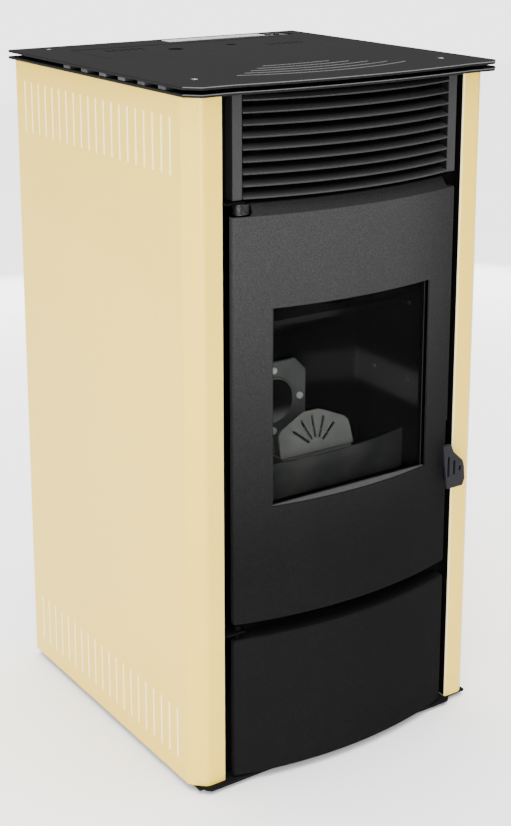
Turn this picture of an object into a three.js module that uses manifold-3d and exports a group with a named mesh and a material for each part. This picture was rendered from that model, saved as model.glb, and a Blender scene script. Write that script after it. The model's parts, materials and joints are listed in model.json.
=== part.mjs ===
// Pellet stove, 1 m tall, in millimetres, +Z up, front towards -Y.
// The origin is on the floor, under the middle of the whole object.

import * as THREE from "three";
import { mergeVertices } from "three/addons/utils/BufferGeometryUtils.js";
import Module from "manifold-3d";

const wasm = await Module();
wasm.setup();

// ---------------------------------------------------------------- driving dimensions

const GAP = 0.3;                  // clearance between pieces that touch
const SHEET = 2;                  // casing sheet

const PANEL_FRONT = -252;         // front face of the cream side panels
const PANEL_BACK = 248;
const PANEL_X = 253;              // outer face of the side panels
const PANEL_INNER_X = 203.5;      // inner edge of their front strips
const PANEL_CORNER = 20;          // chamfer at the front corner
const PANEL_TOP = 986;

const PANEL_RETURN = 18;          // folded edges behind the front strip and at the back
const BACK_PANEL_X = 234;

const FOOT = { x: [195, 225], y: [-232, 232], height: 5.5 };
const BASE = { x: 245, y: [-249.5, 246], top: 10 };
const BASE_Z = [FOOT.height + GAP, BASE.top];
const BODY_BOTTOM = BASE.top + GAP;

const PLATE_X = 262.5;            // half width of both top plates
const PLATE_BACK = 251;
const PLATE_FRONT = -270;         // straight lips beside the bow
const PLATE_BOW_FRONT = -285.5;
const PLATE_BOW_X = 199;
const PLATE_CHAMFER = 18.5;
const PLATE = 4;
const LOWER_PLATE_Z = 986.5;
const UPPER_PLATE_Z = 996;
const MOUTH = { x: 190.8, y: [57.2, 184.8] };        // the lower plate's opening over the hopper
const LID_OPENING = { x: 192, y: [60, 187] };
const CONTROL_OPENING = { x: [-6, 231], y: [200, 243] };
const TOP_SLOT = { count: 5, half: 143, narrower: 21.5, y: -222, step: 22, radius: 415, width: 4 };
const SPACER = { x: [236, 246], y: [-215, 235], tabs: 6, first: -198, pitch: 52.4, half: 9 };

const DOOR_X = 190;               // half width of the bowed fronts
const DOOR_END_Y = -254;
const DOOR_MID_Y = -282;
const DOOR_BACK_Y = -240;
const DOOR_SHEET = 3;
const MAIN_DOOR_Z = [245, 840];
const MAIN_DOOR_FACE_TOP = 823;   // above it the skin slopes back to the grille
const DOOR_SLOPE_BACK = 12;
const LOWER_DOOR_Z = [10.6, 222];
const HINGE = { x: -181, y: -248.5, pin: 3, bore: 3.4 };
const HINGE_CHAMFER = 6;          // clears the frame as a door swings

const HINGE_TOP_Z = [800, 822];    // the main door's upper hinge block
const HINGE_LOW_Z = [247, 268];

const LATCH = { x: 180, y: -247, pin: 3, bore: 3.4 };
const LATCH_LUGS = [[379, 384], [413, 418]];
const LEVER_Z = [395, 401];

const WINDOW = { x: 136, z: [414.5, 697] };
const GLASS_Y = [-262, -258];

const COLUMN = { x: [176, 203.2], y: [-236, -212] };
const FRONT_PLATE_Y = [-239.6, -236.5];
const FIRE_DOORWAY = { x: 146, z: [408, 702] };
const DRAWER_DOORWAY = { x: 132, z: [44, 206] };

const GRILLE = { z: [846, 986.2], postX: [174, 189.5], postY: [-253, -236.3] };
const LOUVRE = { count: 9, x: 173.7, endY: -254.5, midY: -281, backY: -232, z: 848, pitch: 16.05 };
const OUTLET = { x: 175.7, y: [-230, -228], z: [842, 984], windows: 6, pitch: 57, width: 40 };

const FIREBOX = { x: 165, y: [-236.2, -68], z: [385, 720], wall: 4 };
const REAR_PANEL = { x: 45, z: [552, 700], thick: 4 };
const ASH_SLOT = { x: [72, 112], y: [-200, -80] };
const SMOKE_HOLE = { x: [95, 145], z: [655, 705] };
const FUNNEL = { x: 120, y: [-213, -68], z: 203, wall: 2 };
const CHUTE = { z: 485, bore: 34, wall: 2.5, flange: 60, chamfer: 20, y: [-73.5, -68.3] };
const APRON = { x: 157, endY: -190, midY: -210, thick: 3, top: 445 };
const POT = { x: 62, y: [-187, -97], top: 440, wall: 5 };
const FLAME_PLATE = { y: -184.8, z: 440.4, thick: 4, lean: 0.3 };
const AIR_PIPE = { z: 352, r: 25, wall: 1.5, end: 262 };
const AIR_BOX = { x: 56, y: [-182, -100], z: [325, 380.7], wall: 2 };
const DRAWER = { x: 128, y: [-225, 5], z: [48, 200], wall: 2 };
const SHELF = { x: 168, y: [-236, 25], thick: 3 };

const LID = { x: 191.3, y: [60.5, 180.7] };
const LID_HINGE = { y: 183, z: 998, r: 2 };
const PANEL_SLOT = { count: 20, y: [-203, 218], width: 4.5, rows: [[39, 115], [879, 956]] };

const AUGER = { z: 624, r: 28, y: [-4, 198], turns: 3 };
const AUGER_TUBE = { r: 34, bore: 31, y: [-12, 206.5] };
const HOPPER = { x: 190, y: [58, 184], shoulder: 800, neckX: 36.5, neckY: [68, 182], neckZ: 662 };
const DROP = { y: 30, z: 588 };   // where pellets fall from the auger into the chute
const SMOKE_DUCT = { x: [72, 152], y: [-63.7, -20], z: [210, 712], wall: 2 };
const FLUE_FAN = { x: 112, z: 290, r: 80, y: [-19.7, 34], eye: 34, wheel: 58 };
const FLUE_PIPE = { x: 171, z: 150, r: 40, y: [34.3, 285.5], wall: 2 };
const BLOWER = { x: [-230, -60], y: 130, z: 120, r: 38 };
const INLET = { x: [-193, -147], y: [222, 250.5], z: [105, 131] };

// ---------------------------------------------------------------- materials

function paint(color, roughness, metalness) {
  return new THREE.MeshStandardMaterial({ color, roughness, metalness });
}

const creamPaint = () => paint(0xe3d5ac, 0.45, 0.0);
const blackPaint = () => paint(0x35363a, 0.6, 0.3);
const deepBlack = () => paint(0x111113, 0.75, 0.2);
const castGrey = () => paint(0x6a6a68, 0.6, 0.5);
const galvanised = () => paint(0x9a9c9e, 0.45, 0.8);
const darkSteel = () => paint(0x2b2b2c, 0.65, 0.5);
const rubber = () => paint(0x1a1a1a, 0.9, 0.0);
const plastic = () => paint(0x202124, 0.5, 0.0);
const ropeGrey = () => paint(0x77756f, 0.95, 0.0);

// ---------------------------------------------------------------- solids

function solidOf(geometry) {
  const plain = geometry.clone();
  plain.deleteAttribute("normal");
  plain.deleteAttribute("uv");
  const merged = mergeVertices(plain, 1e-4);
  const mesh = new wasm.Mesh({
    numProp: 3,
    vertProperties: new Float32Array(merged.attributes.position.array),
    triVerts: new Uint32Array(merged.index.array),
  });
  return new wasm.Manifold(mesh);
}

function geometryOf(solid) {
  const mesh = solid.getMesh();
  const geometry = new THREE.BufferGeometry();
  geometry.setAttribute("position", new THREE.BufferAttribute(mesh.vertProperties, 3));
  geometry.setIndex(new THREE.BufferAttribute(mesh.triVerts, 1));
  return geometry;
}

function join(...solids) {
  return solids.reduce((sum, solid) => sum.add(solid));
}

function cut(solid, ...tools) {
  return tools.reduce((rest, tool) => rest.subtract(tool), solid);
}

function box(x, y, z) {
  const geometry = new THREE.BoxGeometry(x[1] - x[0], y[1] - y[0], z[1] - z[0]);
  geometry.translate((x[0] + x[1]) / 2, (y[0] + y[1]) / 2, (z[0] + z[1]) / 2);
  return solidOf(geometry);
}

function extrude(points, from, to) {
  const shape = new THREE.Shape(points.map(([a, b]) => new THREE.Vector2(a, b)));
  const geometry = new THREE.ExtrudeGeometry(shape, { depth: to - from, bevelEnabled: false });
  geometry.translate(0, 0, from);
  return geometry;
}

// Prisms whose outline lies in the XY, XZ or YZ plane.
const FACING = {
  z: new THREE.Matrix4(),
  y: new THREE.Matrix4().makeBasis(
    new THREE.Vector3(1, 0, 0), new THREE.Vector3(0, 0, 1), new THREE.Vector3(0, -1, 0)),
  x: new THREE.Matrix4().makeBasis(
    new THREE.Vector3(0, 1, 0), new THREE.Vector3(0, 0, 1), new THREE.Vector3(1, 0, 0)),
};

function prism(facing, points, from, to, holes) {
  const layer = (outline, low, high) => {
    const geometry = extrude(outline, low, high);
    geometry.applyMatrix4(FACING[facing]);
    return solidOf(geometry);
  };
  const drills = holes.map((hole) => layer(hole, from - 1, to + 1));
  return cut(layer(points, from, to), ...drills);
}

function prismZ(points, z, holes = []) {
  return prism("z", points, z[0], z[1], holes);
}

function prismY(points, y, holes = []) {
  return prism("y", points, -y[1], -y[0], holes);
}

function prismX(points, x, holes = []) {
  return prism("x", points, x[0], x[1], holes);
}

function circle(cx, cy, r, sides = 24) {
  const points = [];
  for (let i = 0; i < sides; i += 1) {
    const angle = (2 * Math.PI * i) / sides;
    points.push([cx + r * Math.cos(angle), cy + r * Math.sin(angle)]);
  }
  return points;
}

function rectangle(x, y) {
  return [[x[0], y[0]], [x[1], y[0]], [x[1], y[1]], [x[0], y[1]]];
}

// A range of x on the right, or the same on the left where side is negative.
function mirrored(side, [near, far]) {
  return side < 0 ? [-far, -near] : [near, far];
}

function hingePin(z) {
  return prismZ(circle(HINGE.x, HINGE.y, HINGE.pin, 20), z);
}

// A copy turned by a share of a full turn about an axis through a point.
function turned(solid, axis, [x, y, z], share) {
  const degrees = { x: [360 * share, 0, 0], y: [0, 360 * share, 0], z: [0, 0, 360 * share] }[axis];
  return solid.translate([-x, -y, -z]).rotate(degrees).translate([x, y, z]);
}

// A tapering solid through rings of the same number of points, lowest ring first.
function loft(rings) {
  const count = rings[0].points.length;
  const position = [];
  const index = [];
  for (const ring of rings) {
    for (const [x, y] of ring.points) {
      position.push(x, y, ring.z);
    }
  }
  for (let k = 0; k + 1 < rings.length; k += 1) {
    for (let i = 0; i < count; i += 1) {
      const a = k * count + i;
      const b = k * count + ((i + 1) % count);
      index.push(a, b, b + count, a, b + count, a + count);
    }
  }
  const last = (rings.length - 1) * count;
  const outline = (ring) => ring.points.map(([x, y]) => new THREE.Vector2(x, y));
  for (const [a, b, c] of THREE.ShapeUtils.triangulateShape(outline(rings[0]), [])) {
    index.push(a, c, b);
  }
  for (const [a, b, c] of THREE.ShapeUtils.triangulateShape(outline(rings.at(-1)), [])) {
    index.push(last + a, last + b, last + c);
  }
  const geometry = new THREE.BufferGeometry();
  geometry.setAttribute("position", new THREE.BufferAttribute(new Float32Array(position), 3));
  geometry.setIndex(index);
  return solidOf(geometry);
}

// ---------------------------------------------------------------- the shared bow of the fronts

function bow(halfChord, endY, midY) {
  const rise = endY - midY;
  const radius = (halfChord ** 2 + rise ** 2) / (2 * rise);
  return (x) => midY + radius - Math.sqrt(radius ** 2 - x ** 2);
}

function bowPoints(curve, x0, x1, steps, back = 0) {
  const points = [];
  for (let i = 0; i <= steps; i += 1) {
    const x = x0 + ((x1 - x0) * i) / steps;
    points.push([x, curve(x) + back]);
  }
  return points;
}

const doorBow = bow(DOOR_X, DOOR_END_Y, DOOR_MID_Y);
const DOOR_STEPS = 16;

// ---------------------------------------------------------------- the scene graph

const stove = new THREE.Group();

function add(name, solid, material) {
  const mesh = new THREE.Mesh(geometryOf(solid), material);
  mesh.name = name;
  stove.add(mesh);
}

// ---------------------------------------------------------------- base and casing

// The bottom sheet, its front tongue and the pin that the lower door turns on.
function basePlate() {
  const tongue = [[-238, -240], [-238, -254], [-232, -260], [203, -260], [209, -254], [209, -240]];
  const sheet = prismZ(rectangle([-BASE.x, BASE.x], BASE.y), BASE_Z);
  return join(sheet, prismZ(tongue, BASE_Z), hingePin([BASE.top - 1, 28]));
}

function footRail(side) {
  return box(mirrored(side, FOOT.x), FOOT.y, [0, FOOT.height]);
}

// The left panel's section, wound counter-clockwise, seen from above.
function sidePanelSection() {
  const x = -PANEL_X;
  const edge = -PANEL_INNER_X;
  const soft = 3;
  return [
    [x + PANEL_RETURN, PANEL_BACK], [x, PANEL_BACK],
    [x, PANEL_FRONT + PANEL_CORNER + soft], [x + 1, PANEL_FRONT + PANEL_CORNER - soft],
    [x + PANEL_CORNER - soft, PANEL_FRONT + 1], [x + PANEL_CORNER + soft, PANEL_FRONT],
    [edge, PANEL_FRONT], [edge, PANEL_FRONT + PANEL_RETURN],
    [edge - SHEET, PANEL_FRONT + PANEL_RETURN], [edge - SHEET, PANEL_FRONT + SHEET],
    [x + PANEL_CORNER + soft, PANEL_FRONT + SHEET],
    [x + SHEET + 1, PANEL_FRONT + PANEL_CORNER],
    [x + SHEET, PANEL_FRONT + PANEL_CORNER + soft],
    [x + SHEET, PANEL_BACK - SHEET], [x + PANEL_RETURN, PANEL_BACK - SHEET],
  ];
}

function sidePanel(side) {
  let section = sidePanelSection();
  if (side > 0) {
    section = section.map(([x, y]) => [-x, y]).reverse();
  }
  let panel = prismZ(section, [BODY_BOTTOM, PANEL_TOP]);
  const x = mirrored(side, [PANEL_X - SHEET - 1, PANEL_X + 1]);
  const { count, y, width, rows } = PANEL_SLOT;
  for (let i = 0; i < count; i += 1) {
    const middle = y[0] + ((y[1] - y[0]) * i) / (count - 1);
    for (const row of rows) {
      panel = cut(panel, box(x, [middle - width / 2, middle + width / 2], row));
    }
  }
  return panel;
}

function backPanel() {
  const sheet = box(
    [-BACK_PANEL_X, BACK_PANEL_X], [PANEL_BACK - SHEET, PANEL_BACK], [BODY_BOTTOM, PANEL_TOP]);
  const y = [PANEL_BACK - 5, PANEL_BACK + 5];
  const around = 1.5;
  const holes = [
    prismY(circle(FLUE_PIPE.x, FLUE_PIPE.z, FLUE_PIPE.r + around, 32), y),
    prismY(circle(0, AIR_PIPE.z, AIR_PIPE.r + around, 24), y),
    box([INLET.x[0] - 1, INLET.x[1] + 1], y, [INLET.z[0] - 1, INLET.z[1] + 1]),
  ];
  const vents = {
    rows: 9, pitch: 14, height: 5, blowerX: [-200, -90], blowerZ: 190, highX: [-110, 110], highZ: 720,
  };
  for (let i = 0; i < vents.rows; i += 1) {
    const low = vents.blowerZ + i * vents.pitch;
    const high = vents.highZ + i * vents.pitch;
    holes.push(box(vents.blowerX, y, [low, low + vents.height]));
    holes.push(box(vents.highX, y, [high, high + vents.height]));
  }
  return cut(sheet, ...holes);
}

// ---------------------------------------------------------------- top plates and hopper lid

function plateOutline() {
  const curve = bow(PLATE_BOW_X, PLATE_FRONT, PLATE_BOW_FRONT);
  return [
    [-PLATE_X, PLATE_BACK], [-PLATE_X, PLATE_FRONT + PLATE_CHAMFER],
    [-PLATE_X + PLATE_CHAMFER, PLATE_FRONT],
    ...bowPoints(curve, -PLATE_BOW_X, PLATE_BOW_X, 18),
    [PLATE_X - PLATE_CHAMFER, PLATE_FRONT], [PLATE_X, PLATE_FRONT + PLATE_CHAMFER],
    [PLATE_X, PLATE_BACK],
  ];
}

function lowerTopPlate() {
  const mouth = rectangle([-MOUTH.x, MOUTH.x], MOUTH.y);
  return prismZ(plateOutline(), [LOWER_PLATE_Z, LOWER_PLATE_Z + PLATE], [mouth]);
}

// One of the curved warm-air slots near the front edge.
function curvedSlot(k) {
  const { radius, width } = TOP_SLOT;
  const half = TOP_SLOT.half - TOP_SLOT.narrower * k;
  const middle = TOP_SLOT.y + TOP_SLOT.step * k;
  const curve = (x) => middle + radius - Math.sqrt(radius ** 2 - x ** 2);
  const front = bowPoints(curve, -half, half, 10, -width / 2);
  const back = bowPoints(curve, -half, half, 10, width / 2).reverse();
  return prismZ([...front, ...back], [UPPER_PLATE_Z - 1, UPPER_PLATE_Z + PLATE + 1]);
}

function upperTopPlate() {
  const z = [UPPER_PLATE_Z, UPPER_PLATE_Z + PLATE];
  const lidOpening = rectangle([-LID_OPENING.x, LID_OPENING.x], LID_OPENING.y);
  const controls = rectangle(CONTROL_OPENING.x, CONTROL_OPENING.y);
  let plate = prismZ(plateOutline(), z, [lidOpening, controls]);
  for (let k = 0; k < TOP_SLOT.count; k += 1) {
    plate = cut(plate, curvedSlot(k));
  }
  const end = LID_OPENING.x + 0.5;
  const rod = prismX(circle(LID_HINGE.y, LID_HINGE.z, LID_HINGE.r, 16), [-end, end]);
  return join(plate, rod);
}

function hopperLid() {
  const z = [UPPER_PLATE_Z, UPPER_PLATE_Z + PLATE];
  const cutZ = [z[0] - 1, z[1] + 1];
  let lid = prismZ(rectangle([-LID.x, LID.x], LID.y), z);
  const vents = {
    count: 6, pitch: 11.4, half: 2, leftX: -147, leftY: [139, 161], rightX: 108, rightY: [84, 106],
  };
  for (let i = 0; i < vents.count; i += 1) {
    const left = vents.leftX + i * vents.pitch;
    const right = vents.rightX + i * vents.pitch;
    lid = cut(lid, box([left - vents.half, left + vents.half], vents.leftY, cutZ));
    lid = cut(lid, box([right - vents.half, right + vents.half], vents.rightY, cutZ));
  }
  const fingerHole = circle(-48, 118, 12, 24);
  const smallHole = circle(56, 125, 8, 20);
  return cut(lid, prismZ(fingerHole, cutZ), prismZ(smallHole, cutZ));
}

// Flat bar between the plates, with six tabs that reach their outer edge.
function plateSpacer(side) {
  const z = [LOWER_PLATE_Z + PLATE + GAP, UPPER_PLATE_Z - GAP];
  let bar = box(mirrored(side, SPACER.x), SPACER.y, z);
  const tabX = mirrored(side, [SPACER.x[1] - 1, PLATE_X - 1.5]);
  for (let i = 0; i < SPACER.tabs; i += 1) {
    const y = SPACER.first + i * SPACER.pitch;
    bar = join(bar, box(tabX, [y - SPACER.half, y + SPACER.half], z));
  }
  return bar;
}

// ---------------------------------------------------------------- controls at the rear of the top

const CONTROL = { x: [-5.5, 230.5], y: [200.5, 242.5], z: [991, 998] };
const BUTTON_X = [196, 214];
const BUTTON_Y = 228;

function controlPanel() {
  let body = box(CONTROL.x, CONTROL.y, CONTROL.z);
  for (const x of BUTTON_X) {
    body = cut(body, prismZ(circle(x, BUTTON_Y, 5.3, 20), [995, 999]));
  }
  return body;
}

function displayStrip() {
  return box([-1, 182], [216, 240], [CONTROL.z[1] + GAP, 1000]);
}

function pushButton(index) {
  return prismZ(circle(BUTTON_X[index], BUTTON_Y, 4.8, 20), [996.5, 1000]);
}

// ---------------------------------------------------------------- warm-air grille

function grillePost(side) {
  return box(mirrored(side, GRILLE.postX), GRILLE.postY, GRILLE.z);
}

function louvreBlade(k) {
  const { x, endY, midY, backY } = LOUVRE;
  const z = LOUVRE.z + k * LOUVRE.pitch;
  const front = bowPoints(bow(x, endY, midY), -x, x, 16);
  return prismZ([...front, [x, backY], [-x, backY]], [z - SHEET / 2, z + SHEET / 2]);
}

function airOutletFrame() {
  const holes = [];
  const first = (-OUTLET.pitch * (OUTLET.windows - 1)) / 2;
  for (let i = 0; i < OUTLET.windows; i += 1) {
    const middle = first + i * OUTLET.pitch;
    const x = [middle - OUTLET.width / 2, middle + OUTLET.width / 2];
    holes.push(rectangle(x, [OUTLET.z[0] + 10, OUTLET.z[1] - 10]));
  }
  return prismY(rectangle([-OUTLET.x, OUTLET.x], OUTLET.z), OUTLET.y, holes);
}

// ---------------------------------------------------------------- front frame

function columnSection() {
  const [near, far] = COLUMN.x;
  const [front, back] = COLUMN.y;
  return [
    [near, front], [far, front], [far, back], [far - SHEET, back],
    [far - SHEET, front + SHEET], [near + SHEET, front + SHEET], [near + SHEET, back],
    [near, back],
  ];
}

function frontColumnLeft() {
  const section = columnSection().map(([x, y]) => [-x, y]).reverse();
  const channel = prismZ(section, [BODY_BOTTOM, PANEL_TOP]);
  const bracket = (z) => prismZ([
    [-202.5, -256], [-172, -256], [-172, -241], [-176.2, -241], [-176.2, -235], [-202.5, -235],
  ], z);
  return join(channel,
    bracket([841.5, 844.5]), hingePin([808, 842]),
    bracket([231.5, 235]), hingePin([206, 262]));
}

// The right column has the hole that the latch hook enters, its strike and the lower door's magnet.
function frontColumnRight() {
  const channel = prismZ(columnSection(), [BODY_BOTTOM, PANEL_TOP]);
  const slot = box([175, 196], [-237, -215], [388, 408]);
  const strike = box([170.5, 176.5], [-232, -226], [380, 416]);
  const strikeWindow = box([175.7, 177], [-233, -225], [388, 408]);
  const magnet = box([176.5, 185.5], [-249, -235.5], [100, 140]);
  return join(cut(join(cut(channel, slot), strike), strikeWindow), magnet);
}

function frontFramePlate() {
  const half = COLUMN.x[0] - 0.5;
  const fire = rectangle([-FIRE_DOORWAY.x, FIRE_DOORWAY.x], FIRE_DOORWAY.z);
  const drawer = rectangle([-DRAWER_DOORWAY.x, DRAWER_DOORWAY.x], DRAWER_DOORWAY.z);
  return prismY(rectangle([-half, half], [12, MAIN_DOOR_Z[1]]), FRONT_PLATE_Y, [fire, drawer]);
}

// ---------------------------------------------------------------- doors

function doorRing(z, inset, slope, backY) {
  const x = DOOR_X - inset;
  const front = bowPoints(doorBow, -x, x, DOOR_STEPS, inset + slope);
  const chamferY = Math.max(backY - HINGE_CHAMFER, front[0][1] + 0.5);
  return {
    z,
    points: [...front, [x, backY], [-x + HINGE_CHAMFER, backY], [-x, chamferY]],
  };
}

// The block welded inside a door's left edge, which its hinge pin enters.
function hingeBlock(z) {
  return prismZ([[-187.3, -253], [-172.5, -255], [-172.5, -242], [-187.3, -242]], z);
}

function hingeBore(z) {
  return prismZ(circle(HINGE.x, HINGE.y, HINGE.bore, 24), z);
}

// The lens-shaped shelf between the bowed skin and the flat glass.
function windowShelf(z) {
  const front = bowPoints(doorBow, -WINDOW.x, WINDOW.x, DOOR_STEPS, DOOR_SHEET - 0.2);
  return prismZ([...front, [WINDOW.x, GLASS_Y[0] - GAP], [-WINDOW.x, GLASS_Y[0] - GAP]], z);
}

// The door's top corners are cut away round the hinge pin.
function cornerNotch(side) {
  const points = [[192, 842], [192, 824], [176, 824], [172, 828], [171, 832], [171, 842]];
  return prismY(points.map(([x, z]) => [side * x, z]), [-262, -238]);
}

function doorSkin() {
  const [bottom, top] = MAIN_DOOR_Z;
  const t = DOOR_SHEET;
  const shell = cut(
    loft([
      doorRing(bottom, 0, 0, DOOR_BACK_Y),
      doorRing(MAIN_DOOR_FACE_TOP, 0, 0, DOOR_BACK_Y),
      doorRing(top, 0, DOOR_SLOPE_BACK, DOOR_BACK_Y),
    ]),
    loft([
      doorRing(bottom + t, t, 0, DOOR_BACK_Y + 10),
      doorRing(MAIN_DOOR_FACE_TOP - t / 2, t, 0, DOOR_BACK_Y + 10),
      doorRing(top - t, t, DOOR_SLOPE_BACK - 2, DOOR_BACK_Y + 10),
    ]),
    box([-WINDOW.x, WINDOW.x], [-300, GLASS_Y[0] - GAP], WINDOW.z));
  const [lugLow, lugHigh] = LATCH_LUGS;
  const lugPoints = [...bowPoints(doorBow, 172, 186, 4, 1.5), [186, -241.5], [172, -241.5]];
  const fittings = join(
    windowShelf([WINDOW.z[0] - t, WINDOW.z[0]]),
    windowShelf([WINDOW.z[1], WINDOW.z[1] + t]),
    hingeBlock(HINGE_TOP_Z),
    hingeBlock(HINGE_LOW_Z),
    prismZ(lugPoints, lugLow),
    prismZ(lugPoints, lugHigh),
    prismZ(circle(LATCH.x, LATCH.y, LATCH.pin, 20), [lugLow[0] + 1, lugHigh[1] - 1]));
  const hookPath = box([185, 192], [-262, -238], [lugLow[1], lugHigh[0]]);
  const fingerNotch = box([185, 192], [-262, -246], [376, 470]);
  const leverSwing = box([181, 192], [-262, -251], [LEVER_Z[0] - 3, LEVER_Z[1] + 3]);
  return cut(
    join(cut(shell, hookPath, fingerNotch, leverSwing), fittings),
    hingeBore([HINGE_TOP_Z[0] + 6, HINGE_TOP_Z[1] + 8]), hingeBore([bottom - 1, HINGE_LOW_Z[1] - 4]),
    cornerNotch(-1), cornerNotch(1));
}

function doorFrame() {
  const opening = rectangle([-139, 139], [411.5, 700]);
  return prismY(rectangle([-164.5, 164.5], [262, 806]), [-257.7, -252.7], [opening]);
}

function doorGlass() {
  return box([-146, 146], GLASS_Y, [405, 706]);
}

function doorGasket() {
  const inner = rectangle([-150.5, 150.5], [403.5, 706.5]);
  const outer = [
    [-162, 396], [-158, 392], [158, 392], [162, 396],
    [162, 714], [158, 718], [-158, 718], [-162, 714],
  ];
  return prismY(outer, [-252.4, -240.3], [inner]);
}

// The handle: a slotted plate in front of the door, welded to the lever that turns on the latch pin.
function doorHandle() {
  const outline = [
    [173, 371], [204, 371], [208, 381], [206, 402], [203, 411], [185, 428], [179, 441], [164, 441],
  ];
  const slots = [[175.5, 390, 422], [186.5, 392, 414], [197.5, 396, 404]];
  const holes = slots.map(([x, low, high]) => rectangle([x - 1.8, x + 1.8], [low, high]));
  const plate = prismY(outline, [-276, -272], holes);
  const lever = prismZ([
    [175.5, -252], [191.5, -252], [191.5, -273], [197.5, -273], [197.5, -243.5], [184.5, -243.5],
    [184.5, -219], [176.2, -219], [176.2, -224], [179.5, -224], [179.5, -242], [175.5, -242],
  ], LEVER_Z);
  const hub = prismZ(circle(LATCH.x, LATCH.y, 5.5, 24), [386, 411]);
  const bore = prismZ(circle(LATCH.x, LATCH.y, LATCH.bore, 24), [380, 420]);
  return cut(join(plate, lever, hub), bore);
}

function lowerDoor() {
  const [bottom, top] = LOWER_DOOR_Z;
  const t = DOOR_SHEET;
  const shell = cut(
    loft([doorRing(bottom, 0, 0, DOOR_BACK_Y), doorRing(top, 0, 0, DOOR_BACK_Y)]),
    loft([
      doorRing(bottom + t, t, 0, DOOR_BACK_Y + 10),
      doorRing(top - t, t, 0, DOOR_BACK_Y + 10),
    ]));
  const keeper = prismZ([...bowPoints(doorBow, 177, 185, 3, 1.5), [185, -249.4], [177, -249.4]],
    [104, 136]);
  const fittings = join(hingeBlock([200, top - 2]), hingeBlock([bottom + 2, 34]), keeper);
  return cut(join(shell, fittings), hingeBore([204, top + 1]), hingeBore([bottom - 1, 30]));
}

// ---------------------------------------------------------------- firebox and what stands in it

function firebox() {
  const { x, y, z, wall } = FIREBOX;
  const outer = box([-x - wall, x + wall], [y[0], y[1] + wall], [z[0] - wall, z[1] + wall]);
  const funnelOuter = box(
    [-FUNNEL.x - FUNNEL.wall, FUNNEL.x + FUNNEL.wall],
    [FUNNEL.y[0] - FUNNEL.wall, FUNNEL.y[1] + FUNNEL.wall],
    [FUNNEL.z, z[0] - 1]);
  const chamber = box([-x, x], [y[0] - 5, y[1]], z);
  const rearPanel = box([-REAR_PANEL.x, REAR_PANEL.x], [y[1] - REAR_PANEL.thick, y[1] + 1], REAR_PANEL.z);
  const throughFloor = [z[0] - wall - 11, z[0] + 5];
  const throughBack = [y[1] - 7, y[1] + wall + 4];
  return cut(
    join(cut(join(outer, funnelOuter), chamber), rearPanel),
    box([-FUNNEL.x, FUNNEL.x], FUNNEL.y, [FUNNEL.z - 1, z[0] - wall]),
    box(mirrored(-1, ASH_SLOT.x), ASH_SLOT.y, throughFloor),
    box(mirrored(1, ASH_SLOT.x), ASH_SLOT.y, throughFloor),
    box([-50, 50], [POT.y[0] + 9, POT.y[1] - 9], throughFloor),
    prismY(circle(0, CHUTE.z, CHUTE.bore + CHUTE.wall + 1, 24), throughBack),
    prismY(circle(0, AIR_PIPE.z, AIR_PIPE.r + 1.5, 24), throughBack),
    box(SMOKE_HOLE.x, throughBack, SMOKE_HOLE.z));
}

function pelletChute() {
  const ringPoints = (r) => circle(0, 0, r, 20).map(([a, b]) => new THREE.Vector2(a, b));
  const ring = new THREE.Shape(ringPoints(CHUTE.bore + CHUTE.wall));
  ring.holes.push(new THREE.Path(ringPoints(CHUTE.bore)));
  const route = new THREE.CubicBezierCurve3(
    new THREE.Vector3(0, -74, CHUTE.z), new THREE.Vector3(0, 0, CHUTE.z),
    new THREE.Vector3(0, DROP.y, 500), new THREE.Vector3(0, DROP.y, DROP.z));
  const tube = solidOf(new THREE.ExtrudeGeometry(ring, { steps: 8, extrudePath: route }));
  const c = CHUTE.z;
  const far = CHUTE.flange;
  const near = CHUTE.flange - CHUTE.chamfer;
  const plate = [
    [-near, c - far], [near, c - far], [far, c - near], [far, c + near],
    [near, c + far], [-near, c + far], [-far, c + near], [-far, c - near],
  ];
  const flange = prismY(plate, CHUTE.y, [circle(0, c, CHUTE.bore + 1)]);
  return join(tube, flange);
}

function frontApron() {
  const { x, endY, midY, thick, top } = APRON;
  const curve = bow(x, endY, midY);
  const front = bowPoints(curve, -x, x, 16);
  const back = bowPoints(curve, -x, x, 16, thick).reverse();
  return prismZ([...front, ...back], [FIREBOX.z[0] + GAP, top]);
}

function burnPot() {
  const { x, y, top, wall } = POT;
  const floor = FIREBOX.z[0] + GAP;
  const inside = box([-x + wall, x - wall], [y[0] + wall, y[1] - wall], [floor + wall, top + 5]);
  const airHoles = { columns: 5, rows: 3, pitch: 18, x: -36, y: -160, r: 4 };
  let pot = cut(box([-x, x], y, [floor, top]), inside);
  for (let i = 0; i < airHoles.columns; i += 1) {
    for (let j = 0; j < airHoles.rows; j += 1) {
      const middle = [airHoles.x + airHoles.pitch * i, airHoles.y + airHoles.pitch * j];
      pot = cut(pot, prismZ(circle(...middle, airHoles.r, 8), [floor - 1, floor + wall + 1]));
    }
  }
  return pot;
}

// The fan-shaped flame plate that leans back from the pot's front rim.
function flamePlate() {
  const outline = [[-65, 0], [65, 0], [62, 36], [48, 50], [14, 60], [-14, 60], [-48, 50], [-62, 36]];
  const spread = (25 * Math.PI) / 180;
  const hub = 6;
  const slots = [-2, -1, 0, 1, 2].map((k) => {
    const angle = k * spread;
    const point = (r, w) => [
      r * Math.sin(angle) + w * Math.cos(angle), hub + r * Math.cos(angle) - w * Math.sin(angle),
    ];
    return [point(12, 1), point(42, 2), point(42, -2), point(12, -1)];
  });
  const { y, z, thick, lean } = FLAME_PLATE;
  const tilt = new THREE.Matrix4().makeRotationX(Math.PI / 2 - lean).setPosition(0, y, z);
  return prismZ(outline, [0, thick], slots).transform(tilt.elements);
}

function flameBaffle() {
  const section = [[-205, 648], [-84, 676], [-84, 684], [-205, 656]];
  return prismX(section, [-FIREBOX.x + GAP, FIREBOX.x - GAP]);
}

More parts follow.
